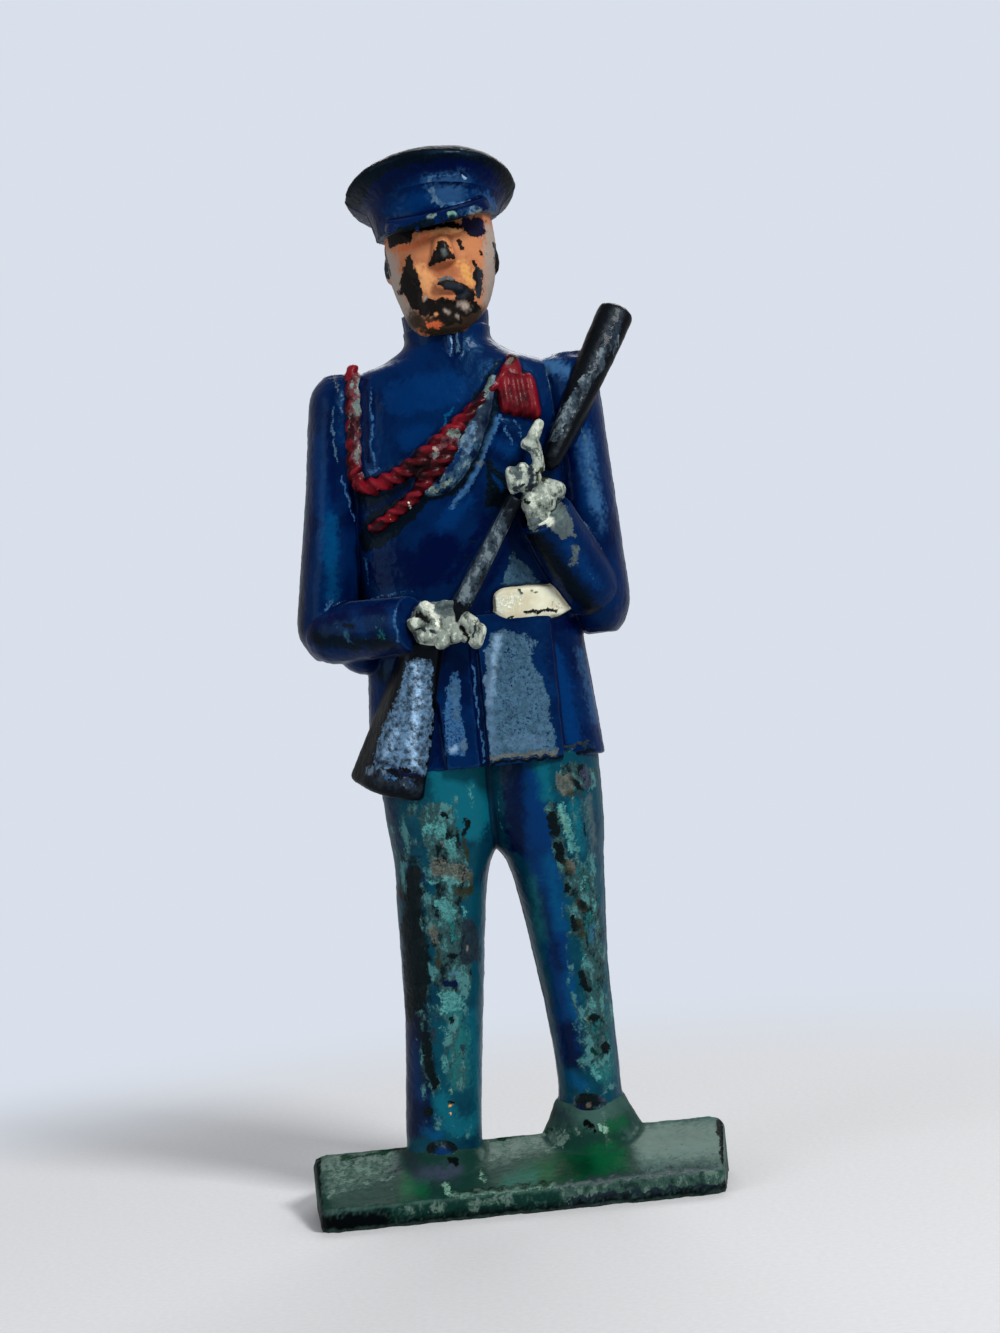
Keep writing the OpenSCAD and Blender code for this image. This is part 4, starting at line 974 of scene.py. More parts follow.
# the soft tones hold paint colours and also painted highlights, painted reflections and painted shade
softTonesAndLight = {  # soft changes of colour: paint, strength, half width or 0 for an area, and strokes of (x, z)
    "head": [
        ("sand", 0.95, 0, [(-5.4, 69.4), (-2.4, 68.2), (-2, 66.4), (-2, 65), (-1.2, 63.4), (-2, 61.4),
            (-5.4, 62)], [(4.2, 69.4), (7, 69.4), (7, 62), (3.8, 61.8), (3.6, 64.2), (3.9, 66.5)]),
        ("peach", 0.8, 0, [(-0.9, 66.8), (0.2, 66.2), (0.4, 65.4), (-0.2, 64.6), (-0.9, 64.9), (-1, 66)]),
        ("rust", 0.8, 0.3, [(-2.4, 68), (-1, 68.1), (0.2, 68.5)]),
        ("rust", 0.6, 0.2, [(0.3, 66.2), (1.5, 66.3)]), ("gold", 0.8, 0.35, [(2.4, 66.3), (2.9, 65.2)]),
        ("peach", 0.7, 0.3, [(0.8, 69), (2.4, 68.8)]),
        ("umber", 0.95, 0.75, [(-1.4, 62.9), (0.2, 62.2), (1.6, 62.2), (3, 62.9)]),
        ("olive", 0.5, 0.25, [(0, 61.9), (1.4, 61.9)]),
    ],
    "cap_crown": [
        # the mist and lighter blue strokes are a painted highlight and reflection on the wall, the navy
        # strokes at the sides painted shade
        ("navy", 1, 0, [(-6.8, 71), (-5.2, 72.8), (-3, 73.6), (0, 74), (4.6, 73.8), (6.6, 72.4),
            (3.8, 72.8), (0, 72.8), (-3, 72.3), (-5, 70.8)]),
        ("black", 1, 0, [(-6.8, 71.2), (-5, 71.8), (-3.2, 72.7), (-0.3, 73.4), (3.4, 73.5), (6, 72.6),
            (6.6, 74), (3, 75.8), (-3, 75.8), (-6.8, 73.6)]),
        ("navy", 1, 1, [(-5.4, 71), (-3.8, 71.6), (-2.2, 72.6)]),
        ("blue", 0.8, 0.4, [(-1.4, 71.7), (0.2, 72), (3.6, 71.9)]),
        ("navy", 1, 0.8, [(5.2, 72.4), (6.4, 71.4)]), ("mist", 0.5, 0.5, [(0.6, 72), (2.8, 72.1)]),
        ("blue", 0.5, 0.4, [(4.2, 71.6), (5, 71.2)]),
    ],
    "cap_band": [
        # the blue and mist are painted highlights and a painted window reflection, the navy painted shade at
        # the left and along the lower edge
        ("blue", 0.8, 0.6, [(-2.4, 70.6), (1, 71.2), (4.4, 70.8)]),
        ("navy", 0.9, 0.6, [(-3.8, 70.4), (-3, 70)]),
        ("mist", 0.5, 0, [(0.4, 71.9), (3, 71.9), (3.1, 70.6), (1.3, 70.5)]),
        ("mist", 0.5, 0.3, [(-3.2, 69.7), (-2.4, 69.8)]), ("mist", 0.6, 0.35, [(4.2, 70.9), (5, 70.6)]),
        ("navy", 0.8, 0.35, [(-1.6, 69.6), (1, 69.9), (3.6, 69.9)]),
    ],
    "collar": [
        # painted shade at the sides and a painted highlight line down the front
        ("navy", 0.9, 0.6, [(2.9, 62.2), (3.1, 60.6)], [(-0.8, 61.8), (-0.7, 60.8)]),
        ("mist", 0.5, 0.25, [(1, 61.8), (0.95, 60)]),
    ],
    "tunic_chest": [
        # painted light and shade: lighter blue patches as painted light, navy as painted shade, and the black
        # strokes painted shadows along the shoulder cord, under the chest cord and beside the left forearm
        ("blue", 0.6, 1.4, [(-3, 57.5), (0.6, 57.8)]), ("blue", 0.6, 0.9, [(-2.6, 54.4), (-1.6, 54.6)]),
        ("navy", 0.9, 1.4, [(-5.2, 45.6), (-2.4, 45.2), (-1.2, 46.6)]),
        ("blue", 0.8, 0.7, [(-0.6, 48.4), (0.8, 49.8)]), ("blue", 0.7, 0.6, [(3.6, 53.6), (4.6, 52.8)]),
        ("navy", 1, 0.35, [(4.2, 47.6), (2.9, 45.4), (1.7, 43.6)], [(2.2, 48.2), (0.6, 45.8),
            (-0.8, 44.4)]),
        ("black", 0.95, 0.35, [(-7.2, 59), (-7.2, 55), (-7.1, 51.5)]),
        ("black", 0.9, 0.45, [(-6.9, 50.8), (-5.6, 50.2), (-3.6, 50.6)]),
        ("black", 0.95, 0.2, [(5.2, 47.4), (6.4, 45.8), (7.8, 43.6), (8.8, 41.6)]),
    ],
    "tunic_skirt": [
        # a painted highlight and reflection down the right side; painted shade in the front opening, beside
        # the butt, under the belt and under the right forearm
        ("blue", 0.9, 0.7, [(6, 38.4), (6.6, 34), (6.8, 32.4)]),
        ("mist", 0.5, 0.4, [(8, 38.4), (8.6, 33.4)]), ("navy", 0.9, 0.5, [(4.6, 40.4), (7.6, 40.4)]),
        ("navy", 1, 0.45, [(0.5, 39.6), (0.5, 31)]), ("navy", 0.95, 0.4, [(-2.7, 38.4), (-2.6, 31.6)]),
        ("black", 0.9, 0.5, [(-6.6, 38.6), (-5.6, 37.4), (-5.9, 36)]),
    ],
    "left_skirt_panel": [("navy", 0.6, 0.5, [(5.7, 39), (5.9, 36.8)])],
    "right_upper_sleeve": [
        # a lighter painted band down the middle and painted shade towards the outer edge
        ("blue", 0.7, 0.7, [(-9, 55), (-9.2, 47)]), ("navy", 0.8, 0.4, [(-8.2, 57), (-8.4, 51)]),
        ("black", 0.8, 0.35, [(-9.9, 58.4), (-10.9, 52), (-11.6, 45), (-12, 41)]),
        ("lake", 0.5, 0.5, [(-8.8, 49.4), (-9.2, 44)]),
    ],
    "left_upper_sleeve": [
        # painted highlights on the folds, and a painted reflection along the outer edge
        ("mist", 0.85, 0.5, [(6.6, 59.4), (8.6, 58.6), (9.8, 57.4)]),
        ("blue", 0.7, 0.6, [(9.4, 55), (9.4, 49)]), ("navy", 0.8, 0.5, [(8.6, 52.6), (8.4, 49)]),
        ("mist", 0.5, 0.35, [(10.1, 53.6), (10.4, 47)]),
        ("ash", 0.8, 0.16, [(11.3, 56), (12, 48), (12.3, 42.5)]),
        ("mist", 0.7, 0.3, [(9.7, 53), (9.8, 50.4), (10.2, 48.4)]),
    ],
    "right_forearm": [
        # painted shadow along the top and under the forearm, with lighter painted highlights on the folds
        ("navy", 0.9, 0.5, [(-11, 42), (-8, 42.6), (-4.8, 42.8)]),
        ("black", 0.95, 0.5, [(-10.6, 41.2), (-8.4, 40.6), (-5.2, 40.3)]),
        ("blue", 0.6, 0.3, [(-7.6, 42.6), (-7.2, 41.4)]), ("blue", 0.7, 0.25, [(-5, 42.6), (-4.9, 40.6)]),
    ],
    "left_forearm": [
        # painted highlights on the upper side and a painted shadow along the underside
        ("blue", 0.8, 0.5, [(7.8, 45.8), (9.4, 43)]), ("mist", 0.5, 0.3, [(9.2, 47.6), (10.6, 44.6)]),
        ("black", 1, 0.55, [(5.4, 46.8), (6.6, 44.8), (8.2, 42.4), (9.4, 40.6)]),
    ],
    "right_trouser_leg": [
        ("teal", 0.95, 0, [(-3.6, 31.4), (0.8, 31.4), (0.6, 27.6), (-0.6, 25.6), (-3.2, 26.2)]),
        ("navy", 0.8, 0.35, [(-6.6, 30), (-6.5, 26)]),
        ("black", 1, 0.75, [(-5.5, 23.2), (-5.8, 20), (-5.9, 17), (-6.3, 14.2)]),
        ("black", 0.8, 0.4, [(-5.9, 13.2), (-5.8, 9.4)]), ("blue", 0.95, 0.5, [(-5.6, 23.9), (-5.2, 23.4)]),
        ("black", 0.9, 0.35, [(-6, 24.9), (-5.2, 24.8)]),
        ("black", 0.8, 0.45, [(-6.7, 22.6), (-6.2, 22.2)]),
        ("navy", 0.95, 0, [(-7.7, 15), (-5.9, 14.6), (-5.7, 9), (-5.6, 5.4), (-8, 5)]),
        ("blue", 0.75, 0.4, [(-6.4, 11.6), (-6.5, 10), (-6.6, 8.2)]),
        # painted reflection along the outer edge
        ("ash", 0.75, 0.28, [(-6.8, 25.4), (-6.8, 22.8)]),
        ("ash", 0.8, 0.3, [(-7, 21.4), (-7, 19.2), (-7.2, 16.6)]),
        ("fern", 0.8, 0.7, [(-3.6, 15), (-3.5, 12), (-3.7, 9)]),
        ("teal", 0.8, 0.7, [(-5, 7.6), (-4.6, 5.8), (-3.2, 5.6)]),
        ("lake", 0.8, 0.35, [(-6.3, 5.6), (-5.6, 5.2)]), ("teal", 0.6, 0.45, [(-2.3, 13.5), (-2.4, 6)]),
        ("slate", 0.9, 0.5, [(-2.3, 19.8), (-2.2, 17.6)]),
        ("black", 0.9, 0.7, [(-5.5, 23.6), (-5.6, 19), (-5.7, 15.6)]),
        ("black", 0.7, 0.5, [(-5.9, 13.6), (-6, 9)]),
    ],
    "left_trouser_leg": [
        # painted shade on the inner side, between the legs
        ("navy", 1, 0, [(1.4, 31.4), (3.2, 31.4), (3.2, 27), (3, 24), (1.4, 24.6)]),
        ("blue", 0.95, 0, [(3.2, 31), (4.4, 30), (4.9, 24), (5, 18), (5.2, 10), (3.6, 9), (3.6, 14),
            (3.2, 20), (2.6, 24)]),
        ("lake", 0.9, 0.4, [(4.2, 24), (4.4, 20.8), (4.5, 19)]),
        ("navy", 0.85, 0.25, [(3.4, 21.6), (3.6, 19.2), (4.2, 16)]),
        ("fern", 0.5, 0.35, [(2.9, 22.4), (3, 18.4)]), ("lake", 0.7, 0.35, [(4.8, 15.6), (4.9, 12.4)]),
        ("navy", 0.95, 0.6, [(4.3, 11.6), (4.5, 9.2)]), ("lake", 0.8, 0.4, [(4.2, 8.2), (5, 7.4)]),
        ("teal", 0.8, 0.4, [(4.4, 30.6), (4.6, 28.4)]), ("teal", 0.7, 0.4, [(6.3, 27.6), (6.5, 24.4)]),
        # the ash and plum strokes at the outer edge are painted reflection
        ("ash", 0.8, 0.3, [(7.5, 27.8), (7.7, 23.6)]), ("plum", 0.7, 0.3, [(7.5, 22.4), (7.6, 21)]),
        ("fern", 0.8, 0.7, [(6.4, 22.6), (6.6, 17.4), (6.6, 12.4), (6.6, 8.2)]),
        # painted reflection along the outer edge
        ("ash", 0.6, 0.25, [(7.9, 18), (8, 13), (7.8, 9.5)]),
    ],
    "base_plate": [
        ("moss", 0.85, 0, [(-15.4, 1.4), (8.6, 1.4), (8, 3.4), (6.8, 4.6), (-6.4, 4.4), (-15.4, 4.4)]),
        ("dust", 0.55, 0.9, [(9, 3.2), (13.8, 3)]), ("dust", 0.65, 0.3, [(-14.2, 3.6), (-9.4, 3.7)]),
        ("dust", 0.5, 0.18, [(-13.6, 2.7), (-10.4, 3.1), (-8.6, 3.2)]),
        ("dust", 0.7, 0.4, [(-2.4, 3.5), (2.4, 3.8)]), ("slate", 0.5, 0.3, [(-9, 3), (-7.8, 3.8)]),
        ("leaf", 0.95, 0.45, [(-8, 2.3), (-7, 2.2)]),
        ("plum", 0.85, 0.35, [(-7.2, 2.9), (-5.6, 2.8), (-4.4, 2.9)]),
        ("slate", 0.7, 0.35, [(-7.6, 3.6), (-7.4, 3.1)]), ("moss", 0.8, 0.5, [(-3.4, 3.3), (-3, 2.6)]),
        ("moss", 0.7, 0.4, [(-4, 2.1), (-1.6, 2.1)]),
        ("grass", 1, 0, [(-1.6, 1.95), (-0.4, 2.35), (1, 2.75), (2.6, 2.95), (4.6, 3.15), (6.5, 3.4),
            (7.5, 3.1), (7.4, 2.1), (5, 1.8), (2.8, 1.75), (0.2, 1.75)]),
        ("pine", 0.9, 0.5, [(2.9, 2.3), (4.6, 2.4)]), ("leaf", 0.7, 0.4, [(5.6, 2.9), (6.9, 2.7)]),
        ("fern", 0.35, 0.3, [(-1, 2), (0.8, 2.2)]), ("leaf", 0.8, 0.35, [(6.6, 4.5), (7.6, 4.6)]),
        ("slate", 0.6, 0.5, [(2.9, 5.6), (3.6, 5.2)]),
        ("moss", 0.95, 0, [(-9.5, 1.5), (3, 1.5), (3, 0.4), (-9.5, 0.4)]),
        ("slate", 0.9, 0, [(3, 1.5), (15, 1.5), (15, 0.5), (3, 0.4)]),
        ("black", 1, 0, [(-15.2, 1.5), (-9.5, 1.3), (-9, -0.4), (-15.2, -0.4)], [(-9.6, 0.55), (3, 0.5),
            (15.2, 0.6), (15.2, -0.4), (-9.6, -0.4)]),
    ],
    "rifle_butt": [
        ("slate", 0.8, 0.3, [(-8, 31.2), (-6, 30.4), (-4.4, 29.9)]),
        ("olive", 0.8, 0.14, [(-3, 35.4), (-3.2, 33.6), (-3.5, 32.2)]),
    ],
    "rifle_grip": [("dust", 0.5, 0.5, [(0.4, 43.8), (3.3, 48.4)])],
}
wearZones = {  # where paint is worn to a mottle: strength, half width or 0 for an area, and strokes
    "right_trouser_leg": [
        (0.42, 2.4, [(-4, 28), (-4.4, 15)]), (0.3, 2, [(-4.4, 14), (-4.8, 6)]),
        (0.9, 1.3, [(-3.4, 27.6), (-2.9, 25), (-2.8, 22.6)]),
        (0.85, 1.4, [(-3.6, 21), (-3.3, 18.6), (-3.4, 16.4)]), (0.5, 0.9, [(-4.2, 14), (-3.8, 9)]),
        (0.45, 0.6, [(-5.6, 14), (-5.8, 10), (-5.5, 8.4)]), (0.5, 0.6, [(-6.4, 27), (-6.2, 23)]),
    ],
    "left_trouser_leg": [
        (0.4, 1.6, [(6, 28), (6.2, 18), (6.2, 8)]), (1, 0.9, [(6.4, 29.8), (7.4, 29.4)]),
        (0.8, 0.5, [(4.8, 27.6), (5, 24.8), (5.5, 22.6), (6, 20.6), (5.9, 18.6)]),
        (0.65, 0.9, [(6.6, 22), (6.8, 18), (6.5, 14), (6.4, 9.6)]), (0.5, 0.5, [(7.7, 18.4), (7.8, 12)]),
    ],
    "tunic_skirt": [(0.7, 0.3, [(6, 31.7), (8.4, 31.7)])],
    "right_forearm": [(0.4, 1, [(-8.6, 41.6), (-6, 41.6)])],
    "right_glove": [(0.62, 2.4, [(-2.6, 41.4), (0.2, 40.8)]), (0.75, 0.6, [(-1.2, 42.2), (0, 42)])],
    "left_glove": [
        (0.6, 2.6, [(5.4, 50.4), (6.4, 49.2)]), (0.45, 1, [(6.2, 54), (6.2, 52)]),
        (0.75, 0.5, [(5.4, 47.8), (6.4, 48.2)]),
    ],
    "base_plate": [
        (0.55, 0.9, [(-13.4, 3), (-9.6, 3.2)]), (0.5, 0.5, [(-2, 3.5), (2.4, 3.7), (4, 4.4)]),
        (0.3, 1, [(9.4, 3), (13.6, 3)]), (0.6, 0.3, [(-2.4, 4.1), (2.8, 4.2)]),
        (0.7, 0.5, [(3, 1.3), (14.6, 1.2)]), (0.5, 0.5, [(-9, 1.1), (3, 1)]),
    ],
    "right_shoe": [(0.8, 1.2, [(-6.2, 4.2), (-4.4, 3.8)])],
    "left_shoe": [(0.7, 1, [(4.6, 6.4), (6.2, 5.6)])],
    "shoulder_cord": [(0.85, 0.5, [(-6.1, 59.2), (-6.2, 56.4), (-6.35, 53.6)])],
    "chest_cord": [(0.8, 0.35, [(-0.9, 53.2), (0.3, 54.2), (0.9, 54.2)])],
    "flat_plait": [(0.9, 0.9, [(-1.2, 50.9), (0.2, 51.6), (1.4, 53.4)])],
    "rifle_barrel": [(0.95, 0.42, [(7.3, 53.6), (9.2, 55.9), (11, 58), (12.6, 60.4)])],
    "rifle_grip": [(1, 0.9, [(3.2, 48), (0.2, 43.4)])],
    "cap_crown": [
        (0.95, 0.42, [(-1.6, 74.5), (0.6, 74.9), (3.2, 74.8), (4.6, 74.4)]),
        (0.6, 0.4, [(-5.4, 72.6), (-3.4, 74)]),
    ],
    "rifle_butt": [(0.6, 0.5, [(-7.6, 31.4), (-5, 30.3)])],
}
# the firm marks hold chips and paint and also painted highlights on ridges and edges and painted shadows
# under the cords, plait, hem and forearms
firmMarksAndLight = {  # firm marks: paint, strength, half width of a stroke or 0 for an area, and strokes
    "head": [
        ("black", 1, 0, [(0.05, 66.5), (2, 66.65), (1.35, 67.9), (0.8, 68)]),
        # the first, pale ash stroke on this row is a painted highlight on the nose
        ("ash", 0.8, 0.14, [(1.25, 67.3), (1.2, 67)]), ("black", 1, 0.17, [(2.3, 67.85), (2.5, 67.5)]),
        ("black", 0.8, 0.14, [(3.75, 67.35), (3.8, 67.15)]),
        ("black", 1, 0.12, [(3.2, 66.55), (3.35, 66.2)]), ("ash", 0.8, 0.1, [(4.35, 67.2), (4.4, 66.2)]),
        ("slate", 1, 0.34, [(3.5, 65.7), (3.55, 65.1), (3.35, 64.5)]),
        ("black", 0.9, 0.12, [(3.3, 65.9), (3.2, 64.7)]),
        ("black", 1, 0, [(-1.5, 67.4), (-1.75, 66.8), (-2.2, 65.9), (-2.35, 65), (-1.75, 64.7),
            (-1.6, 63.9), (-1, 63.3), (0, 63), (1.4, 62.9), (2.4, 62.8), (3.4, 63.3), (3.2, 63.9),
            (2.4, 63.7), (1.2, 64), (0.2, 64.1), (-0.7, 64.4), (-0.8, 65.4), (-1, 66.2), (-1.2, 67.4)]),
        ("black", 0.9, 0, [(-0.3, 63.1), (2.2, 62.9), (1.9, 62.4), (0.9, 62.2), (0, 62.5)]),
        ("black", 1, 0, [(0.25, 65.15), (0.9, 65.4), (1.75, 65.35), (2.5, 64.8), (2.95, 64.3), (2.7, 63.7),
            (1.9, 63.9), (1.3, 64.6), (0.8, 64.95)]),
        ("slate", 0.95, 0.26, [(1.35, 64.9), (2.3, 64.35)]), ("ash", 0.8, 0.1, [(0.7, 65.4), (1.5, 65.45)]),
        ("sand", 0.9, 0.12, [(0.9, 63.4), (1.1, 63.2)]), ("sand", 0.95, 0.22, [(2, 63.6), (2.3, 63.4)]),
        ("sand", 0.8, 0.1, [(1.55, 62.75), (1.7, 62.7)], [(-0.5, 64.4), (-0.45, 64.3)]),
        ("rust", 0.9, 0.2, [(-0.4, 62.5), (0.2, 62.2)]), ("peach", 0.8, 0.1, [(0.1, 63), (0.15, 63)]),
        ("black", 1, 0, [(-2.9, 69.4), (-2.6, 68.5), (-1.2, 68.25), (-0.9, 68.9), (-0.5, 69.5),
            (-1.8, 70)]),
        ("black", 1, 0.22, [(-0.7, 69.3), (0.2, 69.2), (0.8, 69.4), (1.5, 69.25), (2.3, 69.1), (2.9, 68.9),
            (3.5, 68.5), (4.1, 68.7)]),
        ("navy", 0.95, 0, [(2.7, 69.2), (3, 68.7), (3.7, 68.4), (4.3, 68.8), (4.3, 69.6), (2.8, 69.8)]),
        ("black", 1, 0.35, [(5.1, 68.2), (5, 66.3)]), ("slate", 1, 0.35, [(-3.4, 68.6), (-3.25, 66.6)]),
    ],
    "cap_crown": [
        ("black", 1, 0.5, [(-6, 71.2), (-5.6, 72.4), (-4.6, 73.5), (-3.2, 74.3), (-1.6, 74.8), (0.4, 75),
            (2.4, 75), (4.1, 74.7), (5.4, 73.9), (6.3, 72.9), (6.6, 71.4)]),
        ("black", 0.75, 0.5, [(-5.2, 71.8), (-4, 72.9), (-2.6, 73.6), (-0.4, 74.1), (2, 74.3), (4.2, 74)]),
        # the silver stroke here and the next row are a painted highlight and reflection on the wall
        ("black", 0.6, 0.25, [(4.8, 73.4), (6, 72)]), ("silver", 0.7, 0.16, [(0.7, 72.3), (0.75, 71.7)]),
        ("mist", 0.6, 0.07, [(0.6, 72.5), (2.9, 72.5)]), ("bright", 1, 0.08, [(3, 72.45), (3.1, 72.35)]),
    ],
    "cap_band": [
        # painted highlight and reflection on the band
        ("silver", 0.75, 0.2, [(0.75, 71.6), (0.9, 71), (1.3, 70.7)]),
        ("mist", 0.6, 0.1, [(1.3, 70.6), (3, 70.7)]),
    ],
    "cap_peak": [
        ("black", 1, 0.3, [(-3.2, 68.6), (-1.4, 68.9), (0.4, 69.3)]),
        ("black", 0.8, 0.14, [(1.2, 69.4), (3.2, 69.4)]), ("dust", 0.8, 0.15, [(0.5, 69.75), (0.9, 69.75)]),
        ("mint", 0.85, 0.14, [(1.8, 69.75), (2.2, 69.75)]), ("ash", 0.7, 0.18, [(3.4, 69.6), (4, 69.8)]),
    ],
    "collar": [
        # painted highlight lines on the front of the collar
        ("bright", 0.6, 0.07, [(0.95, 61.6), (0.9, 59.4)]),
        ("steel", 0.7, 0.13, [(1.5, 61.6), (1.5, 60.4)]),
    ],
    "tunic_chest": [
        # the black areas and lines are painted shadows under the chest cord and plait and between the left
        # forearm and the belt; the mist and steel lines are painted highlights on ridges and edges
        ("black", 1, 0, [(-7, 48), (-6.4, 49.2), (-5, 50), (-2.9, 50.8), (-1.6, 51), (-1.4, 50.2),
            (-2.4, 49.2), (-4.2, 47.9), (-5.4, 47), (-6.6, 47)]),
        ("black", 1, 0.28, [(-6.8, 51.2), (-5.6, 50.6), (-4.2, 50.7), (-3, 51.2)]),
        ("navy", 0.9, 0.16, [(-6.4, 49.8), (-4.6, 50.3), (-2.9, 51)]),
        ("black", 1, 0.2, [(-1.2, 50.2), (0.3, 50.6), (1.4, 51.6), (2.2, 52.8), (3, 54.4), (3.6, 56),
            (4, 57.6)]),
        ("black", 0.9, 0.14, [(2.2, 56.9), (3.2, 57.9), (4.2, 59.4)]),
        ("mist", 0.7, 0.2, [(-0.1, 49.4), (1, 50.5), (2, 51.8), (2.6, 53), (3.4, 54.6), (3.9, 55.4)]),
        ("steel", 0.55, 0.09, [(2.4, 52.6), (3.2, 54.1)]),
        ("clay", 0.9, 0.12, [(2.2, 52.35), (2.35, 52.2)]), ("mist", 0.62, 0.1, [(4.3, 54.6), (4.6, 53.2)]),
        ("mist", 0.55, 0.1, [(4.9, 55), (5.3, 54)]),
        ("mist", 0.66, 0.09, [(-5, 58.4), (-5.15, 56.5), (-5.3, 54.5), (-5.35, 53)]),
        ("mist", 0.55, 0.2, [(-5.6, 52.5), (-5.1, 52.6)]),
        ("navy", 0.95, 0.2, [(-5.5, 59.2), (-5.6, 56.4), (-5.7, 53.4)]),
        ("black", 0.95, 0.14, [(-7, 59.6), (-7.1, 56), (-7.2, 52)]),
        ("mist", 0.58, 0.1, [(-6.75, 46.6), (-6.6, 44.7)]),
        ("mist", 0.47, 0.07, [(-8, 43.6), (-5.6, 43.7), (-3.4, 43.8)]),
        ("steel", 0.66, 0, [(3.9, 46), (2.8, 43.6), (5.8, 43.3), (4.7, 44.8)]),
        ("black", 1, 0, [(2.7, 52.6), (2.5, 50.4), (2.2, 49.2), (3.4, 49), (4.2, 48.6), (3.9, 49.8),
            (3.8, 51.2)]),
        ("blue", 0.9, 0.1, [(3, 51.4), (3.5, 50.2)]),
        ("black", 1, 0, [(5.2, 47.2), (6.3, 46.6), (8.8, 43), (9.2, 41.4), (8.3, 41.2), (6.8, 43.4),
            (5.4, 45.4)]),
        ("black", 0.8, 0.12, [(3.1, 43.45), (4.6, 43.5), (6.2, 43)]),
        ("black", 0.9, 0.1, [(0.5, 45.9), (0.7, 45.6)], [(1.1, 46.9), (1.3, 46.7)]),
        ("lake", 0.6, 0.14, [(-0.1, 54.9), (0.1, 55.8), (0.8, 56.2)]),
    ],
    "right_upper_sleeve": [
        # painted highlights on folds and edges
        ("steel", 0.66, 0.09, [(-7.9, 57.4), (-8, 55.2), (-7.9, 53.4)]),
        ("mist", 0.62, 0.09, [(-7.7, 52.4), (-7.4, 50.6), (-7.1, 49.2)]),
        ("mist", 0.47, 0.2, [(-9.3, 43.8), (-9.9, 42.8)]),
        ("ash", 0.55, 0.16, [(-7.6, 59.6), (-7.3, 58.6)]),
    ],
    "left_upper_sleeve": [
        # painted highlights on folds and edges
        ("steel", 0.62, 0.1, [(9.7, 54), (9.9, 51.6), (10.1, 49.4)]),
        ("mist", 0.62, 0.1, [(8.2, 53.2), (9.6, 54.4)]), ("steel", 0.55, 0.12, [(7, 57.6), (7.6, 58.6)]),
    ],
    "left_forearm": [
        ("ash", 0.78, 0, [(5, 47.6), (5.4, 46.9), (6.2, 47.4), (7.4, 46.2), (8.3, 46.4), (8.2, 47.6),
            (7.6, 49), (6.6, 48.6)]),
        ("white", 0.9, 0.26, [(6, 47.7), (6.6, 47.5)]), ("dust", 0.7, 0.2, [(6.9, 48.4), (7.4, 47.8)]),
        ("ash", 0.62, 0.3, [(8.3, 45.6), (8, 44.6)]),
        # painted highlights on the folds
        ("mist", 0.58, 0.14, [(8.3, 50), (9, 47.8), (9.8, 46.2), (10.6, 44.4)]),
        ("mist", 0.39, 0.1, [(8.8, 44.4), (9.4, 43)]),
    ],
    "right_forearm": [
        # painted highlight along the cuff
        ("mist", 0.66, 0.12, [(-4.85, 42.4), (-4.75, 40.4)]),
        ("black", 0.9, 0.2, [(-3.9, 41.6), (-3.8, 40.2)]),
        ("black", 0.7, 0.2, [(-8.4, 41.9), (-7.9, 41.7)]), ("fern", 0.39, 0.3, [(-6, 41.2), (-5.8, 40.6)]),
    ],
    "right_glove": [
        ("ash", 0.95, 0, [(-2.1, 42.8), (-0.6, 42.9), (0.2, 42.4), (-0.2, 41.8), (-1.4, 41.6), (-1.9, 42)]),
        ("slate", 0.7, 0.1, [(-1.6, 42.3), (-0.6, 42.4)]),
        ("black", 0.95, 0.24, [(-3.25, 42.3), (-3, 41.9)]),
        ("black", 0.9, 0.2, [(-2.6, 41.8), (-2.45, 41.6)]),
        ("slate", 0.9, 0.12, [(-3.4, 41.1), (-2.8, 40.9)]),
        ("slate", 0.95, 0.12, [(-2.4, 40.9), (-1.9, 40.7)]),
        ("black", 0.9, 0.12, [(-0.3, 41), (0.1, 40.2), (0.1, 39.6)]),
        ("slate", 0.8, 0.1, [(-1.2, 40.2), (-1, 39.8)]), ("slate", 0.7, 0.1, [(0.7, 40.8), (0.5, 40.2)]),
        ("clay", 0.6, 0.16, [(0.9, 41.2), (1, 40.8)]),
        ("white", 0.8, 0.2, [(-2.5, 42.6), (-2.1, 41.8), (-1.8, 41)]),
    ],
    "left_glove": [
        ("ash", 1, 0.26, [(4.65, 51.8), (4.75, 50.9)]),
        ("slate", 0.95, 0.2, [(5.55, 51.6), (5.7, 50.8), (5.5, 50.2)]),
        ("olive", 0.95, 0.32, [(6.7, 51.2), (6.3, 50.7)]), ("black", 0.7, 0.14, [(6.1, 51), (6.7, 50.9)]),
        ("slate", 0.9, 0.16, [(4.4, 50), (5, 50.2)]), ("black", 0.8, 0.14, [(5, 49.3), (5.3, 49.1)]),
        ("slate", 0.8, 0.12, [(5.2, 49.9), (6, 50.2)]), ("ash", 0.9, 0.3, [(5, 47.6), (5.9, 47.7)]),
        ("ash", 0.8, 0.16, [(5.2, 53.2), (5.9, 52.4)]), ("ash", 0.7, 0.3, [(7.4, 49), (7.9, 48.4)]),
    ],
    "rifle_barrel": [
        ("slate", 0.7, 0.25, [(12.4, 60.2), (13.2, 61.6)]), ("ash", 0.8, 0.14, [(7.2, 53.4), (8, 54.4)]),
    ],
    "rifle_butt": [
        ("silver", 1, 0, [(-4.4, 38.9), (-2.7, 39), (-2.6, 38.2), (-2.8, 36), (-3.1, 34), (-3.5, 32),
            (-3.9, 30.8), (-5, 31.4), (-6.4, 31.5), (-7.2, 31.6), (-7.4, 32.5), (-6.9, 33.6), (-6.2, 35),
            (-5.4, 36.2), (-4.7, 37.6)]),
        # painted highlight along the ridge of the worn silver
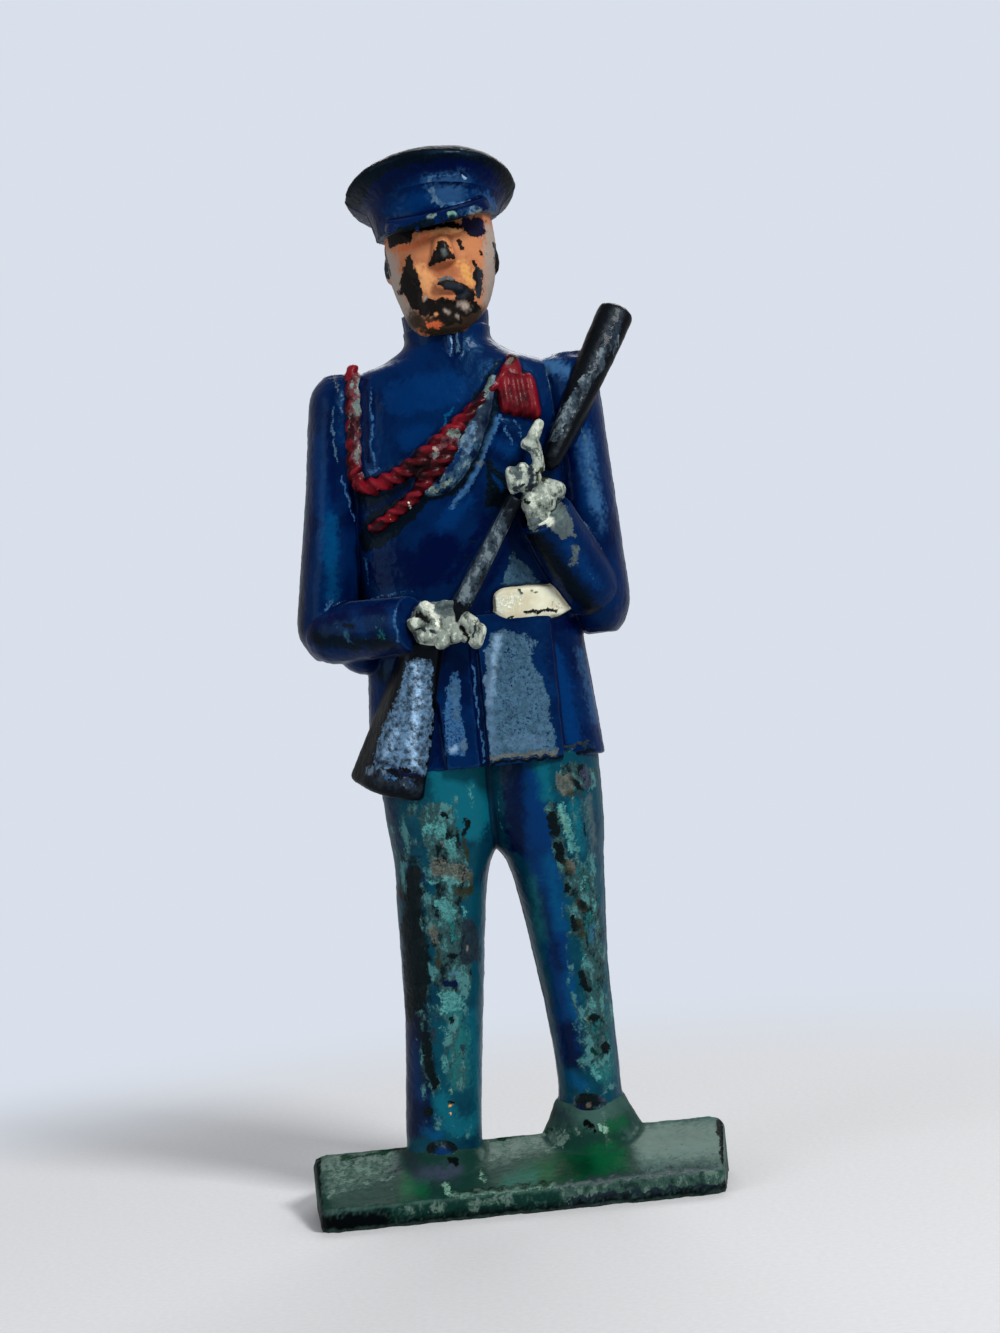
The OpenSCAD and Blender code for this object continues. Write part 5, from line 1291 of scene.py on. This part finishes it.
        ("bright", 0.8, 0.3, [(-3.7, 38.4), (-3.8, 36.6), (-4.2, 34.6), (-4.6, 33), (-4.4, 31.8)]),
        ("bright", 0.5, 0.2, [(-5.6, 34.2), (-6.4, 32.6)]),
        ("navy", 0.85, 0.1, [(-7.2, 32.2), (-6.2, 31.6), (-5.4, 31), (-4.2, 30.9)]),
        ("mist", 0.7, 0.16, [(-6.8, 31), (-6, 30.8)]), ("mist", 0.6, 0.12, [(-5, 30.4), (-4.6, 30.2)]),
    ],
    "belt": [
        # the white patch on the left is pale paint with a painted highlight
        ("white", 0.42, 0.6, [(2.2, 42.2), (3.7, 42.5)]), ("sand", 0.35, 0.35, [(6.4, 41.9), (7.4, 41.5)]),
        ("black", 0.9, 0.1, [(4, 43.1), (4.1, 42.9)], [(3.1, 41.25), (3.4, 41.2)]),
        ("black", 1, 0.13, [(4.3, 41.5), (5, 41.4), (5.6, 41.5), (6.4, 41.4)]),
        ("clay", 0.7, 0.1, [(4.9, 43.1), (5.2, 42.9)]),
    ],
    "left_skirt_panel": [
        ("steel", 0.62, 0, [(1.6, 40.4), (2.9, 40.4), (4.2, 39.9), (5, 39.3), (4.4, 38.4), (4.8, 37.2),
            (5.2, 36.4), (5.4, 34.4), (5.5, 31.6), (0.8, 31.4), (0.8, 33.6), (0.9, 35.6), (1.2, 37.6),
            (1.5, 39.2)]),
        # painted highlight on the rubbed paint
        ("bright", 0.6, 0.26, [(2.2, 39.9), (1.9, 38.8), (1.4, 37), (1.2, 35.6)]),
        ("silver", 0.7, 0.3, [(1.4, 39), (1.1, 35), (1.1, 32.2)]),
        ("silver", 0.5, 0.4, [(2.4, 32.6), (4.4, 32.4)]), ("slate", 0.6, 0.14, [(1.7, 37.8), (1.85, 37.5)]),
        # the black line below the hem on this row is a painted shadow
        ("clay", 0.9, 0.14, [(0.9, 31.55), (5.5, 31.5)]), ("black", 1, 0.12, [(0.7, 31.15), (5.9, 31.1)]),
    ],
    "right_skirt_panel": [
        ("mist", 0.58, 0, [(-1.4, 37.8), (-0.8, 37.9), (-0.75, 34), (-0.8, 31.9), (-2.3, 31.9),
            (-2.2, 34.2), (-1.9, 36.3)]),
        ("steel", 0.55, 0.2, [(-1.2, 37), (-1.2, 34.6)]),
        # painted highlight
        ("bright", 0.9, 0.16, [(-1.8, 32.4), (-1.6, 32.5)]),
        ("silver", 0.6, 0.14, [(-1.3, 35.2), (-1.2, 34.8)]), ("ash", 0.6, 0.12, [(-1.1, 33), (-1, 32.2)]),
    ],
    "tunic_skirt": [
        ("mist", 0.8, 0.08, [(0.25, 38.2), (0.2, 36), (0.35, 34), (0.4, 31.2)]),
        # the black line below the hem on this row is a painted shadow
        ("olive", 0.8, 0.12, [(6.2, 31.8), (7.8, 31.9)]), ("black", 1, 0.14, [(5.8, 31.1), (8.6, 31.3)]),
    ],
    "right_trouser_leg": [
        ("sea", 0.59, 0.5, [(-4, 27), (-3.2, 26.9)]),
        ("sea", 0.63, 0, [(-3.1, 26.2), (-2.2, 26.3), (-2.1, 25.2), (-2.6, 24.8), (-3, 25.2)]),
        ("sea", 0.33, 0.3, [(-0.8, 29.6), (-0.9, 28.2)]),
        ("clay", 0.5, 0, [(-4.4, 24.6), (-3.6, 25), (-2.2, 24.4), (-1.3, 23.8), (-1.3, 22.9), (-2.4, 22.9),
            (-3.2, 23.4), (-4.2, 23.6)]),
        ("clay", 0.46, 0.16, [(-3.3, 26), (-3.2, 25.6)]), ("sea", 0.56, 0.3, [(-3.1, 23.2), (-2.5, 23)]),
        ("sea", 0.53, 0.18, [(-4.4, 23.2), (-3.8, 23.2)]),
        ("olive", 0.63, 0.3, [(-2.6, 22.3), (-1.8, 22.3)]),
        ("black", 0.9, 0.22, [(-1.3, 27.2), (-1.6, 26.4)]),
        ("olive", 0.63, 0.24, [(-1.6, 25.9), (-1.5, 24.4)]),
        ("olive", 0.63, 0.22, [(-1.4, 23.2), (-1.5, 22)]), ("black", 0.8, 0.16, [(-2.9, 28), (-2.6, 27.6)]),
        ("sea", 0.63, 0.55, [(-3.6, 21.6), (-3.2, 20.8)]),
        ("sea", 0.53, 0.22, [(-2.2, 21.2), (-2.1, 20.6)]), ("fern", 0.59, 0.3, [(-3.1, 20.2), (-3, 19)]),
        ("clay", 0.56, 0.3, [(-4.5, 20), (-4.3, 19)]), ("olive", 0.59, 0.25, [(-4.2, 18.4), (-4.3, 17.2)]),
        ("slate", 0.63, 0, [(-2.5, 20.2), (-1.4, 20.2), (-1.3, 17.2), (-2.8, 17), (-2.6, 18.4)]),
        ("black", 0.9, 0.22, [(-3.5, 18), (-3.1, 17.8)]),
        ("sand", 0.9, 0.08, [(-2.2, 18.25), (-2.15, 18.2)]),
        ("sea", 0.59, 0, [(-4.6, 15.5), (-4, 15.6), (-2.9, 14.9), (-2.7, 13.8), (-4.5, 13.9)]),
        # the mist stroke on this row is a painted highlight
        ("mist", 0.4, 0.25, [(-3.4, 16.6), (-3, 16.4)]), ("sea", 0.49, 0.28, [(-4.5, 12.8), (-4.1, 12.2)]),
        ("sea", 0.59, 0.26, [(-4.6, 10.7), (-4.5, 9.6)]), ("mint", 0.46, 0.16, [(-4.4, 8.4), (-4.3, 8.2)]),
        ("fern", 0.53, 0.25, [(-2.7, 12.6), (-2.8, 11.4)]),
        ("black", 0.7, 0.16, [(-3.9, 13.5), (-3.8, 13.3)]),
        ("slate", 0.53, 0.2, [(-3, 13.4), (-3.1, 12.8)]),
        ("slate", 0.53, 0.18, [(-3.2, 11.4), (-3.2, 10.6)]),
        ("black", 0.8, 0.5, [(-5.4, 24), (-5.6, 22), (-5.9, 20), (-5.9, 18), (-5.7, 16.4), (-6, 14.6)]),
        ("black", 0.7, 0.4, [(-6.4, 20.6), (-6.4, 17.6), (-6.7, 15.4), (-6.8, 13.6)]),
        ("black", 0.75, 0.35, [(-5.7, 12.4), (-5.8, 10.8), (-5.5, 9)]),
        ("slate", 0.53, 0.2, [(-5.2, 12.8), (-5, 11.8)]), ("black", 1, 0.32, [(-6.25, 7.05), (-6, 7)]),
        ("black", 0.95, 0.13, [(-4.6, 7.55), (-4.4, 7.45)]),
        # the gold dots and the mist stroke below are painted glints
        ("gold", 0.8, 0.08, [(-4.65, 7.25), (-4.6, 7.2)]),
        ("gold", 0.7, 0.08, [(-4.6, 6.75), (-4.55, 6.7)]),
        ("mist", 0.46, 0.1, [(-5.6, 6.6), (-5, 5.9), (-4.3, 5.7)]),
        ("sea", 0.33, 0.2, [(-4.5, 5.2), (-4.2, 5)]), ("navy", 0.8, 0.2, [(-3.9, 16), (-3.3, 15.8)]),
    ],
    "left_trouser_leg": [
        ("sea", 0.36, 0.1, [(1.1, 29), (1, 26.4)]),
        ("iron", 0.63, 0, [(5.2, 30), (6.6, 29.8), (6.4, 28.6), (5.6, 28.2), (5.2, 29)]),
        ("plum", 0.59, 0.4, [(7.4, 29.8), (7.6, 29)]), ("olive", 0.63, 0.22, [(6, 28.5), (7, 28.2)]),
        ("black", 0.95, 0.2, [(6.4, 29.4), (6.9, 28.8)]),
        ("sea", 0.66, 0.35, [(5.5, 27.6), (5.7, 26), (6, 24.4)]),
        ("mint", 0.4, 0.16, [(5.4, 27.2), (5.6, 25.8)]), ("teal", 0.59, 0.25, [(6.4, 27.2), (6.5, 25.4)]),
        ("black", 0.95, 0.4, [(4.7, 27), (4.8, 25.9)]), ("black", 1, 0.3, [(4.9, 24.9), (5.1, 23.8)]),
        ("olive", 0.59, 0.22, [(5.3, 23.6), (5.6, 22.8)]), ("clay", 0.56, 0.2, [(5.7, 23.6), (5.9, 22.8)]),
        ("black", 0.95, 0.2, [(5.35, 21.9), (5.4, 21.5)]), ("olive", 0.66, 0.36, [(6, 20.8), (6.2, 20.2)]),
        ("black", 0.95, 0.22, [(6.1, 20.6), (6.3, 20.3)]), ("black", 0.95, 0.2, [(5.5, 19.6), (5.6, 18.8)]),
        ("olive", 0.63, 0.24, [(5.9, 19.4), (6, 18.2)]), ("sea", 0.46, 0.3, [(6.6, 22.2), (6.4, 21.6)]),
        ("sea", 0.46, 0.2, [(7.2, 20.8), (7.1, 19.6)]), ("plum", 0.59, 0.3, [(7.5, 18.4), (7.6, 17.4)]),
        # the mist stroke on this row is a painted highlight
        ("mist", 0.46, 0.3, [(6.8, 18.6), (6.7, 17.8)]), ("mint", 0.46, 0.09, [(4.7, 18.6), (4.75, 18.55)]),
        ("black", 0.85, 0.24, [(5.6, 15.6), (5.9, 14.8), (6.2, 14.2)]),
        ("sea", 0.46, 0.3, [(6, 16.8), (6, 16.2)]), ("sea", 0.46, 0.28, [(6.2, 13.6), (6.3, 13)]),
        ("black", 0.8, 0.16, [(7.2, 14.8), (7.3, 14.2)]), ("black", 0.9, 0.24, [(6.1, 12.3), (6.5, 12.2)]),
        ("black", 0.9, 0.26, [(6.8, 10.2), (7, 9.8)]), ("pine", 0.9, 0.18, [(5.9, 10), (6.2, 9.6)]),
        ("mint", 0.33, 0.2, [(5.7, 12.4), (5.8, 11.8)]), ("sea", 0.59, 0.3, [(5.9, 8.8), (6.1, 7.8)]),
        ("black", 0.95, 0.26, [(3.3, 6.9), (3.4, 6.2)]), ("plum", 0.46, 0.2, [(7.6, 21), (7.7, 20.2)]),
        ("black", 0.7, 0.1, [(6.9, 26.2), (7, 25.4)]),
    ],
    "right_shoe": [
        ("black", 0.9, 0.26, [(-6.3, 4.5), (-5.9, 4.4)], [(-4.9, 4.5), (-4.5, 4.4)]),
        ("clay", 0.6, 0.1, [(-5.4, 4.5), (-5.3, 4.4)]), ("black", 0.85, 0.34, [(-5.3, 3.7), (-4.5, 3.6)]),
        # the mist stroke on this row is a painted glint
        ("blue", 0.8, 0.3, [(-5.6, 4.1), (-5, 4)]), ("mist", 0.7, 0.2, [(-6.4, 3.7), (-6, 3.6)]),
    ],
    "left_shoe": [
        ("black", 0.9, 0.5, [(4.9, 6.4), (5.8, 6.5)]), ("black", 0.85, 0.34, [(5.2, 5.8), (5.4, 5)]),
        ("navy", 0.8, 0.3, [(4.6, 5.8), (4.5, 5.4)]), ("sand", 0.8, 0.1, [(5.25, 6), (5.35, 5.95)]),
        ("plum", 0.8, 0.2, [(6.2, 6.6), (6.6, 6.2)]),
    ],
    "base_plate": [
        ("mint", 0.7, 0.22, [(6, 4.5), (6.3, 4.3)]), ("black", 0.9, 0.25, [(5, 4.9), (5.4, 4.6)]),
        ("black", 0.9, 0.24, [(-4.9, 3.5), (-4.5, 3.4)]), ("mint", 0.7, 0.18, [(-5.4, 2.15), (-5.1, 2.1)]),
        # painted highlight along the front top edge, with the next row
        ("mint", 0.5, 0.09, [(-5.4, 1.9), (-4.4, 1.72), (-2, 1.66), (0.6, 1.64), (2.6, 1.66)]),
        ("ash", 0.6, 0.12, [(2.4, 1.66), (6, 1.68), (10, 1.68), (14, 1.68)]),
        ("black", 0.5, 0.14, [(-4.6, 1.82), (-1, 1.78), (2.6, 1.78)]),
        ("slate", 0.4, 0.16, [(4.6, 1.86), (9, 1.9), (13.6, 1.9)]),
        ("pine", 0.8, 0.14, [(-2.2, 4), (-0.6, 4.1), (1, 4.2), (2.4, 4.4)]),
        ("pine", 0.7, 0.12, [(-12.8, 3.8), (-10.6, 3.9), (-8.4, 4)]),
        ("slate", 0.6, 0.14, [(-9.6, 2.7), (-8.2, 3.3)]),
        ("black", 0.8, 0.3, [(-14.6, 3.9), (-14.4, 2.6), (-14.3, 1.8)], [(14.6, 3.9), (14.4, 2.6),
            (14.3, 1.8)]),
        ("mint", 0.5, 0.16, [(-2.8, 2.5), (-2.5, 2.3)]),
    ],
    "shoulder_cord": [
        ("dust", 0.8, 0.2, [(-6.05, 57.6), (-6.15, 56.6)]), ("wine", 0.8, 0.2, [(-6.5, 56.6), (-6.6, 55)]),
        ("dust", 0.7, 0.14, [(-6.3, 59), (-6.3, 58.8)]),
    ],
    "chest_cord": [
        ("sand", 0.8, 0.14, [(-0.9, 53.6), (-0.7, 53.4)]), ("dust", 0.7, 0.2, [(0.2, 54.5), (0.9, 54.6)]),
        ("wine", 0.95, 0.2, [(2.2, 56.5), (3, 57.2), (4.2, 58.8)]),
        ("clay", 0.6, 0.3, [(5, 59.2), (5.5, 59.8)]),
        # painted glints on the beads
        ("peach", 0.35, 0.1, [(-5.2, 51.2), (-5.1, 50.9)], [(-4.2, 51.7), (-4.1, 51.4)]),
    ],
    "flat_plait": [
        ("silver", 0.8, 0.3, [(1.2, 53.2), (1.6, 54.2), (2, 55)]),
        ("blue", 0.9, 0.2, [(-0.1, 52), (0.6, 52.6), (0.9, 53.2)]),
        ("navy", 0.8, 0.16, [(-1, 51.4), (-0.4, 51)]), ("dust", 0.9, 0.2, [(-1.4, 50.6), (-1, 50.6)]),
        ("dust", 0.8, 0.2, [(-0.4, 51), (0, 51.2)], [(2.6, 56.2), (3.2, 57.4), (3.6, 58.2)]),
    ],
    "lower_cord": [
        # the white and peach dots are painted glints on the beads
        ("white", 0.7, 0.12, [(-3.15, 50), (-3, 49.6)]), ("wine", 0.8, 0.25, [(-5.9, 48.4), (-5.2, 48.8)]),
        ("peach", 0.4, 0.1, [(-4.5, 49.2), (-4.4, 48.9)]),
    ],
    "shoulder_knot": [
        ("wine", 0.5, 0.12, [(4.9, 57.6), (4.9, 55.8)], [(6, 57.6), (6, 55.6)]),
        ("wine", 0.7, 0.3, [(5, 59.4), (5.3, 59.9)]),
    ],
}


def insideBy(places, points, radius):
    # how far each place is inside a stroke of that radius, or inside the area that the points bound
    ends = points[1:] + points[:1] if radius == 0 else points[1:]
    apart = np.full(len(places), 1e9)
    inside = np.zeros(len(places), bool)
    x, z = places.T
    for (ax, az), (bx, bz) in zip(points, ends):
        run = np.array((bx - ax, bz - az))
        share = np.clip(((x - ax) * run[0] + (z - az) * run[1]) / max(run @ run, 1e-9), 0, 1)
        apart = np.minimum(apart, np.hypot(x - ax - share * run[0], z - az - share * run[1]))
        if radius == 0 and az != bz:
            inside ^= ((az > z) != (bz > z)) & (x < ax + (z - az) / (bz - az) * (bx - ax))
    return radius - apart if radius else np.where(inside, apart, -apart)


hair = {"back": (0.6, 1.2), "low": (64.6, 65.4), "strength": 0.92}
wander = {"sizes": [(1.6, 0), (1.6, 40), (5.0, 80)], "reach": 0.22, "thin": 0.35, "backWear": 0.36}


def paintPoints(name, co, normal):
    # soft tones and firm marks, both partly painted highlights and shade, and worn zones at each point; their
    # outlines wander and they stay on the front
    drift = []
    for size, shift in wander["sizes"]:
        drift.append(np.array([noise.noise(Vector(p) * size + Vector((7, shift, 3))) for p in co]))
    places = co[:, [0, 2]] + np.stack(drift[:2], 1) * wander["reach"]
    front = smoothStep(-normal[:, 1], -0.35, 0.1) * smoothStep(drift[0] * 2.0 - co[:, 1], -1.8, 0.3)
    sideways = smoothStep(np.abs(normal[:, 0]), 0.7, 0.93)

    def cover(most, radius, points, soft):
        inside = insideBy(places, points, radius) + drift[2] * soft * 0.8
        share = most * front * smoothStep(inside, -soft, soft)
        return share * (1 - sideways) if 0 < radius < wander["thin"] else share

    layers = {}
    for layer, table, edge in (("tone", softTonesAndLight, 0.5), ("mark", firmMarksAndLight, 0.19)):
        colour = np.zeros((len(co), 3))
        strength = np.zeros(len(co))
        if name == "head" and layer == "tone":  # short hair at the back
            behind = smoothStep(co[:, 1] + drift[0], *hair["back"])
            strength = behind * smoothStep(co[:, 2] + drift[1], *hair["low"]) * hair["strength"]
            colour = strength[:, None] * np.array(paintColour(pots["umber"])[:3])
        for pot, most, radius, *strokes in table.get(name, []):
            soft = min(edge, radius * 0.9) if radius and layer == "mark" else edge
            for points in strokes:
                share = cover(most, radius, points, soft)
                colour = colour * (1 - share[:, None]) + np.array(paintColour(pots[pot])[:3]) * share[:, None]
                strength = strength + share * (1 - strength)
        colour = colour / np.maximum(strength, 1e-4)[:, None]
        layers[layer] = np.concatenate([colour, strength[:, None]], 1)
    worn = (1 - front) * wander["backWear"]
    for most, radius, *strokes in wearZones.get(name, []):
        for points in strokes:
            worn = np.maximum(worn, cover(most, radius, points, 0.35))
    layers["worn"] = worn
    return layers


# enamels: screen colours, 0 to 255; a mottle shows through where the paint is worn

navyGloss = (0.1, 0.5, 1.0, 1.0)
steelGloss = (0.6, 0.8, 1.0, 1.0)
creamGloss = (1.0, 1.0, 0.9, 1.0)
# deep is also the painted shade in the creases; rim is the strength of the painted reflection at grazing
# edges
enamels = {
    "tunic": dict(body=(0, 24, 64), deep=(0, 8, 44), pale=(18, 52, 92), wear=0.24, gloss=0.26, crinkle=0.3,
        rim=0.3, sheen=navyGloss, mottle=((3, 5, 9), (8, 36, 62), (36, 70, 90))),
    "panel": dict(body=(0, 26, 66), deep=(0, 8, 44), pale=(18, 52, 92), wear=0.2, gloss=0.32, crinkle=0.34,
        rim=0.2, sheen=navyGloss, mottle=((3, 5, 9), (8, 36, 62), (36, 70, 90))),
    "cap": dict(body=(0, 20, 60), deep=(0, 4, 40), pale=(16, 48, 90), wear=0.2, gloss=0.2, crinkle=0.3,
        rim=0.06, sheen=navyGloss, mottle=((5, 7, 7), (46, 52, 46), (118, 126, 114))),
    "trouser": dict(body=(2, 56, 72), deep=(1, 34, 54), pale=(30, 88, 94), wear=0.42, gloss=0.3,
        crinkle=0.45, rim=0.06, sheen=(0.3, 0.8, 0.9, 1.0),
        mottle=((4, 9, 13), (38, 64, 66), (62, 110, 112))),
    "flesh": dict(body=(174, 112, 74), deep=(144, 84, 56), pale=(184, 136, 104), wear=0.12, gloss=0.42,
        crinkle=0.3, rim=0.15, sheen=(1.0, 0.8, 0.6, 1.0),
        mottle=((6, 6, 8), (60, 54, 50), (150, 134, 120))),
    "belt": dict(body=(206, 207, 186), deep=(178, 170, 142), pale=(216, 218, 208), wear=0.1, gloss=0.4,
        crinkle=0.3, rim=0.0, sheen=creamGloss, mottle=((6, 6, 8), (120, 110, 90), (206, 204, 184))),
    "glove": dict(body=(166, 176, 166), deep=(34, 42, 42), pale=(202, 208, 196), wear=0.08, gloss=0.42,
        crinkle=0.5, rim=0.0, sheen=creamGloss, mottle=((52, 62, 56), (122, 132, 124), (186, 194, 180))),
    "iron": dict(body=(3, 4, 8), deep=(1, 2, 3), pale=(16, 22, 30), wear=0.1, gloss=0.34, crinkle=0.5,
        rim=0.06, sheen=steelGloss, mottle=((8, 12, 18), (44, 56, 66), (96, 108, 114))),
    "stock": dict(body=(2, 3, 7), deep=(1, 1, 3), pale=(14, 20, 28), wear=0.1, gloss=0.34, crinkle=1.0,
        rim=0.04, sheen=steelGloss, mottle=((4, 6, 11), (36, 46, 60), (86, 104, 124))),
    "shoe": dict(body=(10, 36, 40), deep=(3, 9, 12), pale=(30, 58, 70), wear=0.2, gloss=0.3, crinkle=0.5,
        rim=0.05, sheen=(0.4, 0.9, 0.9, 1.0), mottle=((3, 4, 7), (18, 36, 44), (56, 78, 92))),
    "cord": dict(body=(96, 6, 20), deep=(5, 1, 4), pale=(134, 32, 44), wear=0.1, gloss=0.34, crinkle=0.35,
        rim=0.0, sheen=(1.0, 0.5, 0.5, 1.0), mottle=((26, 9, 15), (84, 44, 50), (100, 110, 108))),
    "plait": dict(body=(78, 100, 118), deep=(3, 12, 36), pale=(112, 138, 160), wear=0.05, gloss=0.34,
        crinkle=0.8, rim=0.0, sheen=(0.5, 0.8, 1.0, 1.0),
        mottle=((0, 16, 46), (38, 66, 90), (104, 128, 138))),
    "ground": dict(body=(50, 76, 72), deep=(26, 50, 46), pale=(68, 92, 88), wear=0.12, gloss=0.4,
        crinkle=0.35, rim=0.0, shine=0.03, sheen=(0.5, 1.0, 0.7, 1.0),
        mottle=((22, 42, 38), (46, 70, 64), (80, 102, 94))),
}


metre = 0.001  # metres in a millimetre
grains = {  # features to a millimetre, detail, roughness
    "cloud": (0.32, 4.0, 0.55), "patch": (1.5, 5.0, 0.62), "fine": (5.5, 4.0, 0.6), "grit": (16.0, 2.0, 0.55),
    "wrinkle": (2.3, 4.0, 0.65),
}
edgesOf = {"chip": (0.38, 0.48), "mark": (0.32, 0.6), "bare": (0.12, 0.34)}
# colour of the painted reflection along grazing edges
grazingReflectionColour = (112, 128, 148)


def enamel(name, look):
    mat = bpy.data.materials.new(name + "Enamel")
    paint = Paint(mat)
    shader = paint.tree.nodes["Principled BSDF"]
    spot = Wire(paint, paint.node("ShaderNodeTexCoord").socket.node.outputs["Object"])
    place = paint.node("ShaderNodeVectorMath", {"operation": "SCALE"}, {0: spot, "Scale": 1 / metre})
    ridge, crease, worn = paint.attribute("ridge"), paint.attribute("crease"), paint.attribute("worn")
    tone, toned = paint.tint("tone")
    mark, marked = paint.tint("mark")
    cloud, patch, fine, grit, wrinkle = [paint.grain(place, *grain) for grain in grains.values()]
    black, slate, pale = paintColour(pots["black"]), paintColour(pots["slate"]), paintColour(look["pale"])
    # enamel: darker in the creases, partly pooled paint and partly painted shade; paler where it is thin on
    # the ridges
    colour = cloud.step(0.3, 0.6).between(paintColour(look["deep"]), paintColour(look["body"]))
    # soft tones: paint colour, and also painted highlights, painted reflections and painted shade
    colour = (toned + (patch - 0.5) * toned * 0.5).step(0.05, 0.95).between(colour, tone)
    thin = (ridge * 0.5 + patch * 0.8 - 0.6).step(0.0, 0.5) * 0.55
    colour = thin.between(colour, pale)
    # painted shade: the creases take the deep colour
    colour = (crease * 1.7).step(0.0, 1.0).between(colour, paintColour(look["deep"]))
    # worn zones: dark iron, primer and pale paint in small patches
    dark, middle, light = [paintColour(c) for c in look["mottle"]]
    blot = paint.grain(place, 1.15, 4.0, 0.6, (1.0, 1.0, 0.62))
    mixed = (blot + (fine - 0.5) * 0.22).step(0.38, 0.5).between(dark, middle)
    mixed = (blot + (fine - 0.5) * 0.3).step(0.52, 0.62).between(mixed, light)
    other = paint.grain(place, 0.9, 3.0, 0.55, (1.3, 1.3, 0.8))
    bare = worn * 1.15 + (other - 0.5) * 1.5 + (fine - 0.5) * 0.5 - 0.35
    bare = bare.step(*edgesOf["bare"]) * worn.step(0.02, 0.15)
    colour = bare.between(colour, mixed)
    # chips down to black iron along the ridges
    loss = (ridge * 0.5 + (patch - 0.5) * 1.4 + (fine - 0.5) * 1.1) * look["wear"] * 2.2
    chip = loss.step(*edgesOf["chip"])
    colour = chip.between(colour, fine.step(0.52, 0.7).between(black, slate))
    # firm marks, with grainy edges and a crinkle inside; among them are painted highlights and painted
    # shadows
    cover = marked + (patch - 0.5) * 0.55 + (fine - 0.5) * 1.25 + (grit - 0.5) * 0.7
    cover = cover.step(*edgesOf["mark"]) * marked.step(0.02, 0.25)
    shade = ((wrinkle - 0.5) * 2.6 + (fine - 0.5) * 1.0 + 0.5).step(0.0, 1.0)
    crinkle = look["crinkle"]
    low, high = 1 - 0.85 * crinkle, 1 + 0.7 * crinkle
    varied = shade.between((low, low, low, 1), (high, high, high, 1))
    times = {"data_type": "RGBA", "blend_type": "MULTIPLY"}
    colour = cover.between(colour, paint.node("ShaderNodeMix", times, {0: 1.0, 6: mark, 7: varied}, 2))
    # painted reflection: a pale rim where the surface turns away, standing in for the pale room reflected at
    # grazing angles
    facing = paint.node("ShaderNodeLayerWeight", None, {"Blend": 0.5}, 1)
    colour = (facing.step(0.7, 1.0) * look["rim"]).between(colour, paintColour(grazingReflectionColour))
    paint.feed(shader.inputs["Base Color"], colour)
    rough = look["gloss"] + cloud * 0.12 + cover * 0.12 + bare * 0.15 + chip * 0.15
    paint.feed(shader.inputs["Roughness"], rough)
    shine = look.get("shine", 0.12)
    shader.inputs["Specular IOR Level"].default_value = shine
    shader.inputs["Specular Tint"].default_value = look["sheen"]
    shader.inputs["Coat Weight"].default_value = shine * 0.25
    shader.inputs["Coat Roughness"].default_value = 0.08
    height = fine * 0.35 + grit * 0.12 + patch * 0.5 - chip * 0.6 - bare * 0.3
    height = height + (cover * crinkle + bare * 0.5) * shade * 1.2
    bump = paint.node("ShaderNodeBump", None, {"Strength": 0.6, "Distance": 0.09 * metre, "Height": height})
    paint.feed(shader.inputs["Normal"], bump)
    return mat


finishes = {  # enamel, slot and pieces; what isn't here is in the tunic's blue
    "ground": ("base_paint", ["base_plate"]), "shoe": ("shoe_paint", ["right_shoe", "left_shoe"]),
    "trouser": ("trouser_paint", ["right_trouser_leg", "left_trouser_leg"]), "belt": ("belt_paint", ["belt"]),
    "flesh": ("face_paint", ["head"]), "cap": ("cap_paint", ["cap_band", "cap_crown", "cap_peak"]),
    "glove": ("glove_paint", ["right_glove", "left_glove"]), "stock": ("rifle_paint", ["rifle_butt"]),
    "iron": ("rifle_paint", ["rifle_grip", "rifle_barrel"]),
    "panel": ("tunic_paint", ["left_skirt_panel", "right_skirt_panel"]),
    "plait": ("plait_paint", ["flat_plait"]),
    "cord": ("cord_paint", ["shoulder_cord", "chest_cord", "lower_cord", "shoulder_knot"]),
}
finishOf = {piece: (coat, slot) for coat, (slot, pieces) in finishes.items() for piece in pieces}
walls = {"thick": 0.6, "thin": 0.22, "thinPieces": (
    "shoulder_cord", "chest_cord", "lower_cord", "flat_plait", "shoulder_knot", "left_skirt_panel",
    "right_skirt_panel", "belt", "right_glove", "left_glove", "rifle_grip", "collar", "cap_peak",
    "right_shoe", "left_shoe", "cap_band")}
sharpFrom = 62  # degrees
coats = {name: enamel(name, look) for name, look in enamels.items()}


def dress(name, part):
    # paint layers, a wall behind the skin, metres, material, and its place in the frame
    mesh = part.data
    co, normal = readPoints(mesh)
    for layer, values in paintPoints(name, co, normal).items():
        addLayer(mesh, layer, values)
    wall = part.modifiers.new("wall", "SOLIDIFY")
    wall.thickness = walls["thin"] if name in walls["thinPieces"] else walls["thick"]
    wall.offset = -1
    solid = applyModifiers(part)
    solid.transform(Matrix.Scale(metre, 4))
    coat, slot = finishOf.get(name, ("tunic", "tunic_paint"))
    solid.materials.clear()
    solid.materials.append(coats[coat])
    solid.polygons.foreach_set("material_index", np.zeros(len(solid.polygons), np.int32))
    solid.shade_smooth()
    solid.set_sharp_from_angle(angle=math.radians(sharpFrom))
    solid.update()
    part.name = "cast_" + name
    solid.name = "cast_" + name
    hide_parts(name)
    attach(part, "root")


for name, part in parts.items():
    dress(name, part)
print("stage: dressed")

sizes = {"cad": [list(c) for c in cadBox], "visual": [list(c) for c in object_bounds()]}
